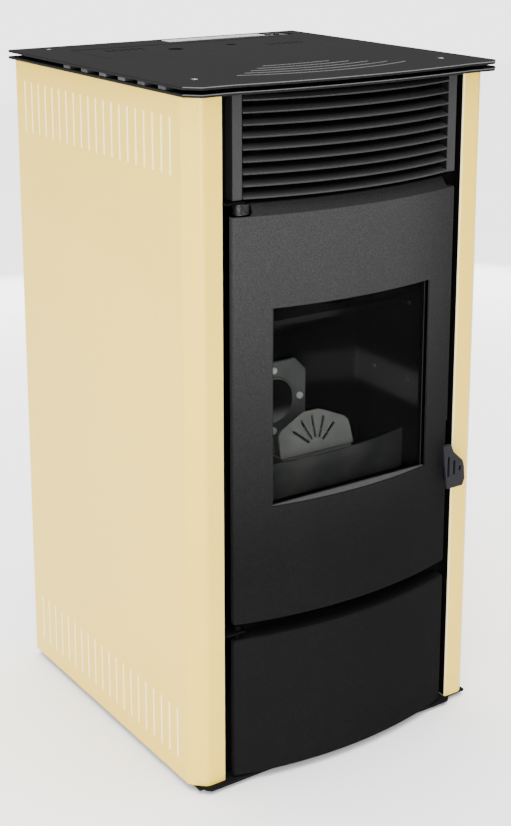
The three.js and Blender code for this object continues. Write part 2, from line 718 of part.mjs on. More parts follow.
function combustionAirDuct() {
  const { z, r, wall, end } = AIR_PIPE;
  const { x, y } = AIR_BOX;
  const t = AIR_BOX.wall;
  const outer = join(
    box([-x, x], y, AIR_BOX.z),
    prismY(circle(0, z, r, 28), [y[1] - 1, end]));
  return cut(outer,
    box([-x + t, x - t], [y[0] + t, y[1] - t], [AIR_BOX.z[0] + t, AIR_BOX.z[1] + 5]),
    prismY(circle(0, z, r - wall, 28), [y[1] - 10, end + 10]));
}

function igniter() {
  const rod = prismY(circle(0, AIR_PIPE.z, 5, 12), [-95, 60]);
  const holder = box([-22.5, 22.5], [44, 50], [AIR_PIPE.z - 4, AIR_PIPE.z + 4]);
  return join(rod, holder);
}

// ---------------------------------------------------------------- ash drawer

function ashDrawer() {
  const { x, y, z, wall } = DRAWER;
  const inside = box([-x + wall, x - wall], [y[0] + wall, y[1] - wall], [z[0] + wall, z[1] + 1]);
  const tray = cut(box([-x, x], y, z), inside);
  const front = y[0] - 25;
  const pull = cut(box([-40, 40], [front, y[0] + 1], [124, 134]),
    box([-36, 36], [front + 4, y[0]], [120, 140]));
  return join(tray, pull);
}

function drawerShelf() {
  const { x, y, thick } = SHELF;
  const top = DRAWER.z[0] - GAP;
  return join(
    box([-x, x], y, [top - thick, top]),
    box(mirrored(-1, [x - thick, x]), y, [BODY_BOTTOM, top]),
    box(mirrored(1, [x - thick, x]), y, [BODY_BOTTOM, top]));
}

// ---------------------------------------------------------------- smoke path

function smokeDuct() {
  const { x, y, z, wall } = SMOKE_DUCT;
  return cut(box(x, y, z),
    box([x[0] + wall, x[1] - wall], [y[0] + wall, y[1] - wall], [z[0] + wall, z[1] - wall]),
    box(SMOKE_HOLE.x, [y[0] - 5, y[0] + 10], SMOKE_HOLE.z),
    prismY(circle(FLUE_FAN.x, FLUE_FAN.z, FLUE_FAN.eye, 24), [y[1] - 10, y[1] + 10]));
}

function flueFanHousing() {
  const { x, y, z, r, eye } = FLUE_FAN;
  const inY = [y[0] + SHEET, y[1] - SHEET];
  const outletX = [130.5, 211.5];
  const outletZ = 108;
  const outer = join(prismY(circle(x, z, r, 36), y), box(outletX, y, [outletZ, z]));
  const inner = join(
    prismY(circle(x, z, r - SHEET, 36), inY),
    box([outletX[0] + SHEET, outletX[1] - SHEET], inY, [outletZ + SHEET, z]));
  const rear = [y[1] - 4, y[1] + 6];
  return cut(outer, inner,
    prismY(circle(x, z, eye, 24), [y[0] - 10, y[0] + 10]),
    prismY(circle(x, z, 8, 16), rear),
    prismY(circle(FLUE_PIPE.x, FLUE_PIPE.z, FLUE_PIPE.r - FLUE_PIPE.wall, 32), rear));
}

function flueFanImpeller() {
  const { x, z } = FLUE_FAN;
  const blades = 10;
  let wheel = join(
    prismY(circle(x, z, FLUE_FAN.wheel, 32), [22, 25]),
    prismY(circle(x, z, 5, 16), [-4, 39.7]),
    prismY(circle(x, z, 14, 20), [0, 24]));
  const blade = prismY(rectangle([x + 10, x + FLUE_FAN.wheel - 1], [z - 1, z + 1]), [0, 23]);
  for (let i = 0; i < blades; i += 1) {
    wheel = join(wheel, turned(blade, "y", [x, 0, z], i / blades));
  }
  return wheel;
}

function flueFanMotor() {
  const { x, z } = FLUE_FAN;
  return join(
    prismY(circle(x, z, 34, 28), [44, 104]),
    box([x - 45, x + 45], [40, 44.5], [z - 12, z + 12]),
    prismY(circle(x, z, 12, 16), [103, 116]));
}

function fluePipe() {
  const { x, y, z, r, wall } = FLUE_PIPE;
  return prismY(circle(x, z, r, 36), y, [circle(x, z, r - wall, 36)]);
}

// ---------------------------------------------------------------- pellet feed

function hopper() {
  const { x, y, shoulder, neckX, neckY, neckZ } = HOPPER;
  const top = UPPER_PLATE_Z - GAP;
  const ring = (level, half, depth) => ({ z: level, points: rectangle([-half, half], depth) });
  const inY = [y[0] + SHEET, y[1] - SHEET];
  const neckInX = neckX - 1.9;
  const neckInY = [neckY[0] + SHEET, neckY[1] - SHEET];
  const outer = join(
    loft([ring(neckZ, neckX, neckY), ring(shoulder, x, y), ring(top, x, y)]),
    box([-neckX, neckX], neckY, [neckZ - 24, neckZ + 1]));
  const inner = join(
    loft([
      ring(neckZ - 1, neckInX, neckInY),
      ring(shoulder - 1, x - SHEET, inY),
      ring(top + 1.3, x - SHEET, inY),
    ]),
    box([-neckInX, neckInX], neckInY, [neckZ - 32, neckZ + 2]));
  return cut(outer, inner, prismY(circle(0, AUGER.z, AUGER_TUBE.r + 0.4, 28), [60, 190]));
}

function augerTube() {
  const { r, bore, y } = AUGER_TUBE;
  const flange = 42;
  const tube = join(
    prismY(circle(0, AUGER.z, r, 28), y),
    box([-flange, flange], [y[1] - 4, y[1]], [AUGER.z - flange, AUGER.z + flange]));
  return cut(tube,
    prismY(circle(0, AUGER.z, bore, 28), [y[0] + 2, y[1] + 4]),
    box([-26, 26], [72, 178], [AUGER.z, AUGER.z + 46]),
    prismZ(circle(0, DROP.y, bore, 24), [DROP.z - 8, AUGER.z]));
}

// The screw: a flat bar twisted along the axis, with a solid core.
function auger() {
  const steps = 42;
  const { r, turns } = AUGER;
  const [start, end] = AUGER.y;
  const bar = [[r, -2.5], [r, 2.5], [7, 6], [-7, 6], [-r, 2.5], [-r, -2.5], [-7, -6], [7, -6]];
  const rings = [];
  for (let i = 0; i <= steps; i += 1) {
    const angle = (2 * Math.PI * turns * i) / steps;
    rings.push({
      z: start + ((end - start) * i) / steps,
      points: bar.map(([a, b]) => [
        a * Math.cos(angle) - b * Math.sin(angle), a * Math.sin(angle) + b * Math.cos(angle),
      ]),
    });
  }
  const screw = geometryOf(loft(rings));
  screw.rotateX(-Math.PI / 2);
  screw.translate(0, 0, AUGER.z);
  return join(solidOf(screw), prismY(circle(0, AUGER.z, 6, 16), [end - 8, 206.7]));
}

function augerMotor() {
  const gearbox = box([-36, 36], [207, 226], [AUGER.z - 40, AUGER.z + 40]);
  const motor = box([-26, 26], [225, 243], [AUGER.z - 28, AUGER.z + 20]);
  return join(gearbox, motor);
}

// ---------------------------------------------------------------- room-air blower

function blowerHousing() {
  const { x, y, z, r } = BLOWER;
  const inX = [x[0] + SHEET, x[1] - SHEET];
  const outer = join(prismX(circle(y, z, r, 32), x), prismX(rectangle([y - r, y], [z, z + 60]), x));
  const inner = join(
    prismX(circle(y, z, r - SHEET, 32), inX),
    prismX(rectangle([y - r + SHEET, y - SHEET], [z, z + 62]), inX),
    prismX(rectangle([y + 4, y + r + 1], [z - 20, z + 20]), inX),
    prismX(circle(y, z, 6, 16), [x[1] - 3, x[1] + 1]));
  const stand = box([x[0] + 20, x[1] - 20], [y - 15, y + 15], [BODY_BOTTOM, z - r + 1]);
  const motor = prismX(circle(y, z, 30, 24), [x[1] + 5, x[1] + 48]);
  const motorStand = box([x[1] + 12, x[1] + 40], [y - 10, y + 10], [BODY_BOTTOM, z]);
  const foot = box([x[0] + 20, x[1] + 40], [y - 15, y + 15], [BODY_BOTTOM, BODY_BOTTOM + 4]);
  const bearing = prismX(circle(y, z, 6, 16), [x[1] + 4, x[1] + 12]);
  return join(cut(outer, inner), stand, cut(join(motor, motorStand), bearing), foot);
}

function blowerRotor() {
  const { x, y, z } = BLOWER;
  const span = [x[0] + 5, x[1] - 6];
  const rim = 31;
  const blades = 14;
  let rotor = join(
    prismX(circle(y, z, rim, 24), [span[0], span[0] + 3]),
    prismX(circle(y, z, rim, 24), [span[1] - 3, span[1]]),
    prismX(circle(y, z, 4, 12), [span[0], x[1] + 10]));
  const section = rectangle([y + rim - 9, y + rim - 0.5], [z - 0.8, z + 0.8]);
  const blade = prismX(section, [span[0] + 1, span[1] - 1]);
  for (let i = 0; i < blades; i += 1) {
    rotor = join(rotor, turned(blade, "x", [0, y, z], i / blades));
  }
  return rotor;
}

// ---------------------------------------------------------------- electrics at the back

function mainsInlet() {
  const well = (x) => box(x, [236, INLET.y[1] + 1.5], [INLET.z[0] + 4, INLET.z[1] - 4]);
  return cut(box(INLET.x, INLET.y, INLET.z), well([-190, -166]), well([-162, -149.5]));
}

// The blade-shaped rocker turns about a crosswise axis inside the inlet's right-hand well.
function powerSwitch() {
  const section = [[244, 111], [251.5, 112], [249.5, 118], [250.5, 125], [244, 125]];
  return prismX(section, [-161.4, -150.1]);
}

function controlBoard() {
  return join(
    box([-236, -234], [60, 200], [420, 560]),
    box([-234.5, -208], [80, 120], [440, 490]),
    box([-234.5, -220], [140, 185], [450, 470]),
    box([-234.5, -224], [140, 185], [500, 540]));
}

// ---------------------------------------------------------------- assembly

add("base_plate", basePlate(), blackPaint());
add("foot_rail_left", footRail(-1), rubber());
add("foot_rail_right", footRail(1), rubber());
add("side_panel_left", sidePanel(-1), creamPaint());
add("side_panel_right", sidePanel(1), creamPaint());
add("back_panel", backPanel(), galvanised());
add("lower_top_plate", lowerTopPlate(), blackPaint());
add("upper_top_plate", upperTopPlate(), blackPaint());
add("plate_spacer_left", plateSpacer(-1), galvanised());
add("plate_spacer_right", plateSpacer(1), galvanised());
add("hopper_lid", hopperLid(), blackPaint());
add("control_panel", controlPanel(), plastic());
add("display_strip", displayStrip(), paint(0xd0d2d2, 0.3, 0.4));
for (let i = 0; i < BUTTON_X.length; i += 1) {
  add(`push_button_${i + 1}`, pushButton(i), plastic());
}
add("grille_post_left", grillePost(-1), blackPaint());
add("grille_post_right", grillePost(1), blackPaint());
for (let k = 0; k < LOUVRE.count; k += 1) {
  add(`louvre_blade_${k + 1}`, louvreBlade(k), blackPaint());
}
add("air_outlet_frame", airOutletFrame(), deepBlack());
add("front_column_left", frontColumnLeft(), deepBlack());
add("front_column_right", frontColumnRight(), deepBlack());
add("front_frame_plate", frontFramePlate(), deepBlack());
add("door_skin", doorSkin(), blackPaint());
add("door_frame", doorFrame(), deepBlack());
add("door_glass", doorGlass(), paint(0x202020, 0.05, 0.0));
add("door_gasket", doorGasket(), ropeGrey());
add("door_handle", doorHandle(), blackPaint());
add("lower_door", lowerDoor(), blackPaint());
add("firebox", firebox(), darkSteel());
add("pellet_chute", pelletChute(), darkSteel());
add("front_apron", frontApron(), darkSteel());
add("burn_pot", burnPot(), castGrey());
add("flame_plate", flamePlate(), castGrey());
add("flame_baffle", flameBaffle(), darkSteel());
add("combustion_air_duct", combustionAirDuct(), galvanised());
add("igniter", igniter(), galvanised());
add("ash_drawer", ashDrawer(), galvanised());
add("drawer_shelf", drawerShelf(), galvanised());
add("smoke_duct", smokeDuct(), darkSteel());
add("flue_fan_housing", flueFanHousing(), galvanised());
add("flue_fan_impeller", flueFanImpeller(), galvanised());
add("flue_fan_motor", flueFanMotor(), galvanised());
add("flue_pipe", fluePipe(), darkSteel());
add("hopper", hopper(), galvanised());
add("auger_tube", augerTube(), galvanised());
add("auger", auger(), darkSteel());
add("auger_motor", augerMotor(), plastic());
add("blower_housing", blowerHousing(), galvanised());
add("blower_rotor", blowerRotor(), galvanised());
add("mains_inlet", mainsInlet(), plastic());
add("power_switch", powerSwitch(), plastic());
add("control_board", controlBoard(), paint(0x1f5a34, 0.6, 0.0));

export default stove;
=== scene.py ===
"""Builds the visible pieces of a free-standing pellet stove round its frame, in a plain studio."""

import json
import math
from contextlib import contextmanager

import bmesh
import bpy
from mathutils import Matrix, Vector


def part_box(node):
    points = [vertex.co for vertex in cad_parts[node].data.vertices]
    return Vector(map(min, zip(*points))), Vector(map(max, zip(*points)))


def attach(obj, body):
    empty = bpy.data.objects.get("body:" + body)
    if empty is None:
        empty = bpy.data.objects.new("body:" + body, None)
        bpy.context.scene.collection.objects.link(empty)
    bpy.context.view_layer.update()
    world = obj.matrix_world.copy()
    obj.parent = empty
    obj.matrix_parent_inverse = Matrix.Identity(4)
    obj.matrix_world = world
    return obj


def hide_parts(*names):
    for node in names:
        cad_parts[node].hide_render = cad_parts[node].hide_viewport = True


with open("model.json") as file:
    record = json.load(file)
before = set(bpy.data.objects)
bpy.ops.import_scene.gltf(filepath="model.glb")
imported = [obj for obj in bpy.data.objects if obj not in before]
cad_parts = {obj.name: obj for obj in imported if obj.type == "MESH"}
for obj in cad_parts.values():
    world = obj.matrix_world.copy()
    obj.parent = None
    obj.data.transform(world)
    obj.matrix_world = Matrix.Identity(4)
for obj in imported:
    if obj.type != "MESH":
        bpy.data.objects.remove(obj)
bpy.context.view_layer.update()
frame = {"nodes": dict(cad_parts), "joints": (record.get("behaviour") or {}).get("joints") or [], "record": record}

bl_info = {
    "name": "Pellet Stove",
    "version": (1, 0, 0),
    "blender": (4, 5, 0),
    "location": "View3D > Sidebar > Stove",
    "description": "Sheet metal, doors, grille, firebox and studio of a pellet stove",
    "category": "Object",
}

MM = 0.001
ROOT = "stove"
WELD = 0.001 * MM                 # points nearer than this are one
PAST = 10 * MM                    # cutters run this far past what they cut


def box(node):
    """Lowest and highest corner of a frame node."""
    low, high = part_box(node)
    return Vector(low), Vector(high)


def mm(points):
    """Points given in millimetres, in metres."""
    return [tuple(value * MM for value in point) for point in points]


# ------------------------------------------------------------------ sizes shared with the frame

AXES = {joint["name"]: joint["pos_m"] for joint in frame["joints"] if "pos_m" in joint}
HINGE = Vector(AXES["main_door_hinge"][:2])
LATCH = Vector(AXES["handle_turn"][:2])
LID_ROD = Vector(AXES["hopper_lid_hinge"])

PANEL_SHEET = 2 * MM
PANEL_CORNER = 20 * MM            # chamfer of the side panels
PANEL_RETURN = 18 * MM            # folded edges behind their front and at their back
SLOT_COUNT = 20
SLOT_WIDTH = 4.5 * MM
SLOT_Y = (-203 * MM, 218 * MM)    # middles of the first and the last slot of each row
SLOT_STEP = (SLOT_Y[1] - SLOT_Y[0]) / (SLOT_COUNT - 1)
SLOT_ROWS = ((39 * MM, 115 * MM), (879 * MM, 956 * MM))  # their lower and upper ends

PLATE_CHAMFER = 18.5 * MM
PLATE_LIP_Y = -270 * MM           # the straight lips beside the bow
PLATE_BOW_X = 199 * MM            # the bow ends here, at both sides
LID_OPENING = mm([(-192, 192), (60, 187)])
CONTROL_OPENING = mm([(-6, 231), (200, 243)])
TOP_SCREWS = mm([(x, y) for x in (-209, 209) for y in (-195, 222)])

LOUVRE_COUNT = 9
OUTLET_TOP = box("air_outlet_frame")[1].z
DEFLECTOR_FOOT = 770 * MM         # lower edge of the sheet behind the louvres
DEFLECTOR_Y = -214 * MM

DOOR_HALF = box("door_skin")[1].x
DOOR_END_Y = -254 * MM            # both doors' faces at their side edges
DOOR_BACK_Y = -240 * MM           # rear edge of their folds
UNCUT_BACK_Y = -222 * MM          # the folded blank reaches this far back before it is trimmed
DOOR_SHEET = 3 * MM
DOOR_FOLD = 3.7 * MM              # outer radius of the folds, a little more than the sheet
DOOR_SLOPE_FOLD = 9 * MM          # the softer bend where the main door's face leans back
DOOR_RETURN = 14 * MM             # the folded edges reach this far back at the top and bottom
DOOR_BOW_X = 180 * MM             # the bow's last column of points before the corner folds
DOOR_FACE_TOP = 823 * MM          # above it the main door's face leans back by the next value
DOOR_SLOPE_BACK = 12 * MM
WINDOW_X = 136 * MM
WINDOW_Z = (414.5 * MM, 697 * MM)
PIN_BORE = 3.4 * MM               # radius, for a 6 mm pin
LUG_BACK_Y = -241.5 * MM          # rear of the lugs that hold the handle

LINER_X = 165 * MM                # inner faces of the firebox's side walls
CHUTE_BORE = 34 * MM
CHUTE_OUTER = 36.4 * MM
# Control points of the chute's middle line, in millimetres, from its mouth up to the feed.
CHUTE_BEND = ((0, -74, 485), (0, 0, 485), (0, 30, 500), (0, 30, 588))
CHUTE_FACE_Y = CHUTE_BEND[0][1] * MM
CHUTE_Z = CHUTE_BEND[0][2] * MM


# ------------------------------------------------------------------ adjustable sizes and colours


class StoveSizes(bpy.types.PropertyGroup):
    """Fine sizes of the sheet metal."""

    edge: bpy.props.FloatProperty(
        name="Edge softness", description="Radius on the edges of cut sheet",
        default=0.5 * MM, min=0.0001, unit="LENGTH")
    fold: bpy.props.FloatProperty(
        name="Fold radius", description="Outer radius of folded sheet",
        default=2.2 * MM, min=0.0005, unit="LENGTH")
    corner_fold: bpy.props.FloatProperty(
        name="Corner fold radius",
        description="Radius of the soft bends at the panels' front corners",
        default=13 * MM, min=0.001, unit="LENGTH")


class StoveColours(bpy.types.PropertyGroup):
    """Colours of the main finishes, as linear light."""

    enamel: bpy.props.FloatVectorProperty(
        name="Panel enamel", description="Cream enamel of the side panels",
        default=(0.79, 0.54, 0.038), size=3, min=0, max=1, subtype="COLOR")
    paint: bpy.props.FloatVectorProperty(
        name="Stove paint", description="Black textured paint of the doors, plates and grille",
        default=(0.0041, 0.0041, 0.0043), size=3, min=0, max=1, subtype="COLOR")
    # Near white: painted light that shows in the side slots.
    slot_board: bpy.props.FloatVectorProperty(
        name="Slot board", description="Pale board that shows in the side slots",
        default=(1.0, 0.87, 0.5), size=3, min=0, max=1, subtype="COLOR")


class StoveStudio(bpy.types.PropertyGroup):
    """Camera and lights."""

    azimuth: bpy.props.FloatProperty(
        name="Azimuth", description="Camera's turn round the stove",
        default=math.radians(-34.07), subtype="ANGLE", unit="ROTATION")
    elevation: bpy.props.FloatProperty(
        name="Elevation", description="Camera's height angle",
        default=math.radians(13.68), subtype="ANGLE", unit="ROTATION")
    distance: bpy.props.FloatProperty(
        name="Distance", description="Camera's distance from its aim",
        default=2.0366, unit="LENGTH")
    aim: bpy.props.FloatVectorProperty(
        name="Aim", description="Point the camera looks at",
        default=(-0.15278, -0.252, 0.77923), size=3, subtype="TRANSLATION", unit="LENGTH")
    lens: bpy.props.FloatProperty(
        name="Lens", description="Focal length on a 36 mm sensor, in millimetres", default=67.392)
    shift: bpy.props.FloatProperty(
        name="Shift", description="Upward shift of the lens, in widths of the sensor", default=-0.2)
    overhead: bpy.props.FloatProperty(
        name="Overhead", description="Brightness of the studio's soft ceiling light", default=10.0)
    front_power: bpy.props.FloatProperty(
        name="Front light", description="Power of the soft light left of the camera, in watts",
        default=138)
    side_power: bpy.props.FloatProperty(
        name="Side lights",
        description="Power of the low lights on the left, right and back, in watts", default=26)
    backdrop: bpy.props.FloatProperty(
        name="Backdrop", description="Brightness of the empty studio behind the stove", default=3.3)
    ambient: bpy.props.FloatProperty(
        name="Ambient", description="Brightness of the light that the empty studio gives",
        default=0.12)


# ------------------------------------------------------------------ node trees


class Wire:
    """A socket's value. Arithmetic on it adds the Math nodes that work it out."""

    def __init__(self, graph, socket):
        self.graph = graph
        self.socket = socket

    def __add__(self, other):
        return self.graph.math("ADD", self, other)

    def __radd__(self, other):
        return self.graph.math("ADD", other, self)

    def __sub__(self, other):
        return self.graph.math("SUBTRACT", self, other)

    def __rsub__(self, other):
        return self.graph.math("SUBTRACT", other, self)

    def __mul__(self, other):
        return self.graph.math("MULTIPLY", self, other)

    def __rmul__(self, other):
        return self.graph.math("MULTIPLY", other, self)

    def __pow__(self, other):
        return self.graph.math("POWER", self, other)

    def __rpow__(self, other):
        return self.graph.math("POWER", other, self)

    def __neg__(self):
        return 0.0 - self

    def clamped(self):
        """The value held between 0 and 1."""
        return self.graph.math("MAXIMUM", 0.0, self.graph.math("MINIMUM", 1.0, self))

    def step(self, low, high):
        """0 below low, 1 above high, and a smooth rise between."""
        return self.graph.node(
            "ShaderNodeMapRange", {0: self, 1: low, 2: high, 3: 0.0, 4: 1.0},
            interpolation_type="SMOOTHSTEP")


class Graph:
    """A node tree whose nodes are each added by one call."""

    def __init__(self, tree):
        self.tree = tree

    def node(self, kind, inputs=None, output=0, **settings):
        """Adds a node: first its settings, then the values or links of its sockets."""
        node = self.tree.nodes.new(kind)
        for key, value in settings.items():
            setattr(node, key, value)
        for key, value in (inputs or {}).items():
            self.feed(node.inputs[key], value)
        return Wire(self, node.outputs[output]) if node.outputs else node

    def feed(self, socket, value):
        if isinstance(value, Wire):
            self.tree.links.new(value.socket, socket)
        else:
            socket.default_value = value

    def math(self, operation, first, second):
        return self.node("ShaderNodeMath", {0: first, 1: second}, operation=operation)


class Surface(Graph):
    """A material's nodes, with the textures that this stove's finishes share."""

    def __init__(self, name):
        self.material = bpy.data.materials.new(name)
        self.material.use_nodes = True
        super().__init__(self.material.node_tree)
        self.shader = self.tree.nodes["Principled BSDF"]
        self.place = self.node("ShaderNodeTexCoord", output="Object")

    def set(self, **values):
        """Sets or links the shader's sockets: base_color for Base Color, and so on."""
        for key, value in values.items():
            socket = key.replace("_", " ").title().replace("Ior", "IOR")
            self.feed(self.shader.inputs[socket], value)
        return self

    def stretched(self, scale):
        return self.node("ShaderNodeMapping", {"Vector": self.place, "Scale": scale})

    def noise(self, scale, detail=2.0, roughness=0.5, place=None):
        return self.node("ShaderNodeTexNoise", {
            "Vector": place or self.place, "Scale": scale,
            "Detail": detail, "Roughness": roughness})

    def cells(self, scale, output=0):
        return self.node("ShaderNodeTexVoronoi", {"Vector": self.place, "Scale": scale}, output)

    def mix(self, share, first, second):
        """A colour between two colours."""
        return self.node(
            "ShaderNodeMix", {0: share, 6: opaque(first), 7: opaque(second)}, 2, data_type="RGBA")

    def relief(self, height, depth, strength, under=None):
        """A bump of that depth in metres."""
        sockets = {"Height": height, "Distance": depth, "Strength": strength}
        if under:
            sockets["Normal"] = under
        return self.node("ShaderNodeBump", sockets)

    def axis(self, index):
        """The X, Y or Z of the place on the object, in metres."""
        return self.node("ShaderNodeSeparateXYZ", {0: self.place}, index)

    def facing(self, index):
        """The X, Y or Z of the way that the surface faces."""
        normal = self.node("ShaderNodeNewGeometry", output="True Normal")
        return self.node("ShaderNodeSeparateXYZ", {0: normal}, index)


def opaque(colour):
    """A colour with its alpha, where it is not a link."""
    return colour if isinstance(colour, Wire) else (*colour[:3], 1)


def grey(value):
    """A neutral colour of that lightness."""
    return (value, value, value)


def toned(colour, factor, lift=0.0):
    """A lighter or darker form of a colour."""
    return tuple(min(1, value * factor + lift) for value in colour)


# ------------------------------------------------------------------ finishes


def cream_enamel():
    """Satin cream powder coat: faint orange peel and slow drifts of tone, with painted light on its inner returns
    and level faces, which are painted paler against their shade.
    """
    surface = Surface("cream_enamel")
    colour = tuple(bpy.context.scene.stove_colours.enamel)
    drift = surface.noise(3.0, 3.0)
    peel = surface.noise(420.0, 2.0)
    dust = surface.noise(60.0, 4.0, 0.6)
    deeper = tuple(c * f for c, f in zip(colour, (0.965, 0.955, 0.93)))
    tone = surface.mix(drift.step(0.35, 0.65), deeper, colour)
    tone = surface.mix((dust - 0.45).clamped() * 0.8, tone, toned(colour, 1.03))
    # Painted light: faces that turn inward or lie level are painted paler, to lighten the shade on them.
    away = surface.axis(0).step(-1 * MM, 1 * MM) * 2.0 - 1.0
    inward = -(surface.facing(0) * away)
    level = surface.facing(2) * surface.facing(2)
    edge = (inward.step(0.2, 0.6) + level.step(0.2, 0.6)).clamped()
    return surface.set(
        base_color=surface.mix(edge * 0.8, tone, (1.0, 0.88, 0.55)),
        roughness=0.36 + dust * 0.14,
        coat_weight=0.12,
        normal=surface.relief(peel, 0.02 * MM, 0.7, surface.relief(drift, 0.5 * MM, 0.15)),
    ).material


# Painted light: the doors' paint is painted paler from the lower height up to the higher one, for the light on
# their upper part. Painted shade: it is painted less pale towards the stove's right and on the strip under the
# grille.
PAINTED_LIGHT_Z = (300 * MM, 860 * MM)
PAINTED_SHADE_X = (60 * MM, 200 * MM)
SHADED_Z = (DOOR_FACE_TOP + 0.5 * MM, DOOR_FACE_TOP + 1.5 * MM)


def textured_black(name, colour, roughness, grain, gloss=0.02, rubbed=0.0, greyed=0.0, fronted=0.0):
    """Matte paint with a sandy grain and thin dusting.

    Its colour is its own, or a number that multiplies the stove's paint. The last three values paint light into
    it: the first a highlight on the rounded upper edges at the front, the second a paler top on the doors, with
    painted shade towards their right and under the grille, and the third lighter faces where they look straight
    ahead."""
    if not isinstance(colour, tuple):
        colour = toned(bpy.context.scene.stove_colours.paint, colour)
    surface = Surface(name)
    sand = surface.noise(1500.0, 3.0, 0.7)
    specks = surface.noise(640.0, 3.0, 0.75).step(0.40, 0.62)
    clumps = surface.noise(380.0, 3.0, 0.6)
    drift = surface.noise(5.0, 4.0, 0.55)
    brushed = surface.noise(60.0, 4.0, 0.6, surface.stretched((1.0, 1.0, 0.12)))
    worn = surface.mix(
        (sand * 0.5 + specks * 0.75 - 0.1).clamped(), colour, toned(colour, 2.4, 0.0008))
    tone = surface.mix((drift * brushed * 1.2).clamped(), worn, toned(colour, 1.3))
    # Painted light: the doors are painted paler towards their top, with painted shade towards the right and on the
    # strip under the grille.
    if greyed:
        heat_stain_and_painted_light = surface.axis(2).step(*PAINTED_LIGHT_Z) * (0.60 + drift * 0.3 + specks * 0.5)
        heat_stain_and_painted_light = heat_stain_and_painted_light * (1.0 - surface.axis(0).step(*PAINTED_SHADE_X) * 0.45)
        heat_stain_and_painted_light = heat_stain_and_painted_light * (1.0 - surface.axis(2).step(*SHADED_Z) * 0.62)
        tone = surface.mix((heat_stain_and_painted_light * greyed).clamped(), tone, grey(0.05))
    ahead = -surface.facing(1)
    # Painted light: faces that look straight ahead are painted lighter.
    if fronted:
        lit = ahead.step(0.85, 0.97) * (0.8 + specks * 0.4) * fronted
        tone = surface.mix(lit, tone, grey(0.06))
    # Painted highlight: the rounded upper edges at the front are painted lighter, for the light that catches them.
    if rubbed:
        up = surface.facing(2)
        edge = up.step(0.15, 0.4) * (1.0 - up.step(0.93, 0.985)) * ahead.step(0.05, 0.3)
        edge = edge * (1.0 - surface.axis(1).step(0.0, 20 * MM))
        tone = surface.mix(edge * rubbed, tone, grey(0.2))
    return surface.set(
        specular_ior_level=gloss,
        base_color=tone,
        roughness=(roughness - sand * 0.16 + drift * 0.06).clamped(),
        normal=surface.relief(sand, grain, 0.9, surface.relief(clumps, grain * 1.4, 0.6)),
    ).material


def moulded_plastic(name, colour, roughness):
    """Spark-textured moulded plastic."""
    surface = Surface(name)
    grain = surface.noise(1300.0, 2.0, 0.6)
    drift = surface.noise(12.0, 3.0)
    return surface.set(
        base_color=surface.mix(drift, colour, toned(colour, 1.25, 0.003)),
        roughness=roughness + grain * 0.12,
        normal=surface.relief(grain, 0.04 * MM, 0.6),
    ).material


def coat(make, name, *look, **wear):
    """A finish of that name, made by one of the shared makers with a look of its own."""

    def named():
        return make(name, *look, **wear)

    named.__name__ = name
    return named


# The doors' paint. The top plates and the lid take a lighter copy with a painted highlight on their front edges,
# less of it on the lid. The louvres' copy is painted 2.2 times lighter, as painted light for the little light
# between the blades. The louvres' front lips and the grille's posts are painted lighter where they look straight
# ahead, as painted light.
stove_paint = coat(textured_black, "stove_paint", 1, 0.56, 0.09 * MM, gloss=0.003, greyed=0.54)
plate_paint = coat(textured_black, "plate_paint", 1.5, 0.62, 0.07 * MM, gloss=0.03, rubbed=0.5)
lid_paint = coat(textured_black, "lid_paint", 1.5, 0.62, 0.07 * MM, gloss=0.03, rubbed=0.12)
blade_paint = coat(
    textured_black, "blade_paint", 2.2, 0.46, 0.05 * MM, gloss=0.06, rubbed=0.12, fronted=0.34)
post_paint = coat(textured_black, "post_paint", 1, 0.5, 0.06 * MM, gloss=0.06, fronted=0.44)
# Dull blacks: the bars behind the louvres, painted darker than the stove's paint as painted shade, and the frame
# behind the doors, which barely show.
bar_black = coat(textured_black, "bar_black", grey(0.0012), 0.7, 0.05 * MM, gloss=0.03)
shade_black = coat(textured_black, "shade_black", grey(0.0008), 0.8, 0.05 * MM, gloss=0.03)
# Greys of the strips beside the glass, the dusty ledge under it, the hammered handle and the pipes.
seal_strip_paint = coat(textured_black, "seal_strip_paint", grey(0.014), 0.6, 0.05 * MM)
ledge_paint = coat(textured_black, "ledge_paint", grey(0.04), 0.6, 0.12 * MM)
handle_paint = coat(
    textured_black, "handle_paint", (0.0058, 0.0058, 0.0072), 0.5, 0.06 * MM, gloss=0.08)
dark_coating = coat(textured_black, "dark_coating", grey(0.035), 0.48, 0.03 * MM)

black_plastic = coat(moulded_plastic, "black_plastic", grey(0.02), 0.42)
display_cover = coat(moulded_plastic, "display_cover", (0.42, 0.43, 0.44), 0.16)
rail_rubber = coat(moulded_plastic, "rail_rubber", grey(0.015), 0.8)


def ashen_frame():
    """Dull black of the door's inner frame, with ash lying on its lower rail."""
    surface = Surface("ashen_frame")
    ash = surface.noise(300.0, 4.0, 0.6)
    lying = surface.facing(2).step(0.5, 0.9) * (0.7 + ash * 0.5)
    return surface.set(
        specular_ior_level=0.03,
        base_color=surface.mix(lying.clamped(), grey(0.0008), grey(0.02)),
        roughness=0.7 + ash * 0.2,
        normal=surface.relief(ash, 0.05 * MM, 0.6),
    ).material


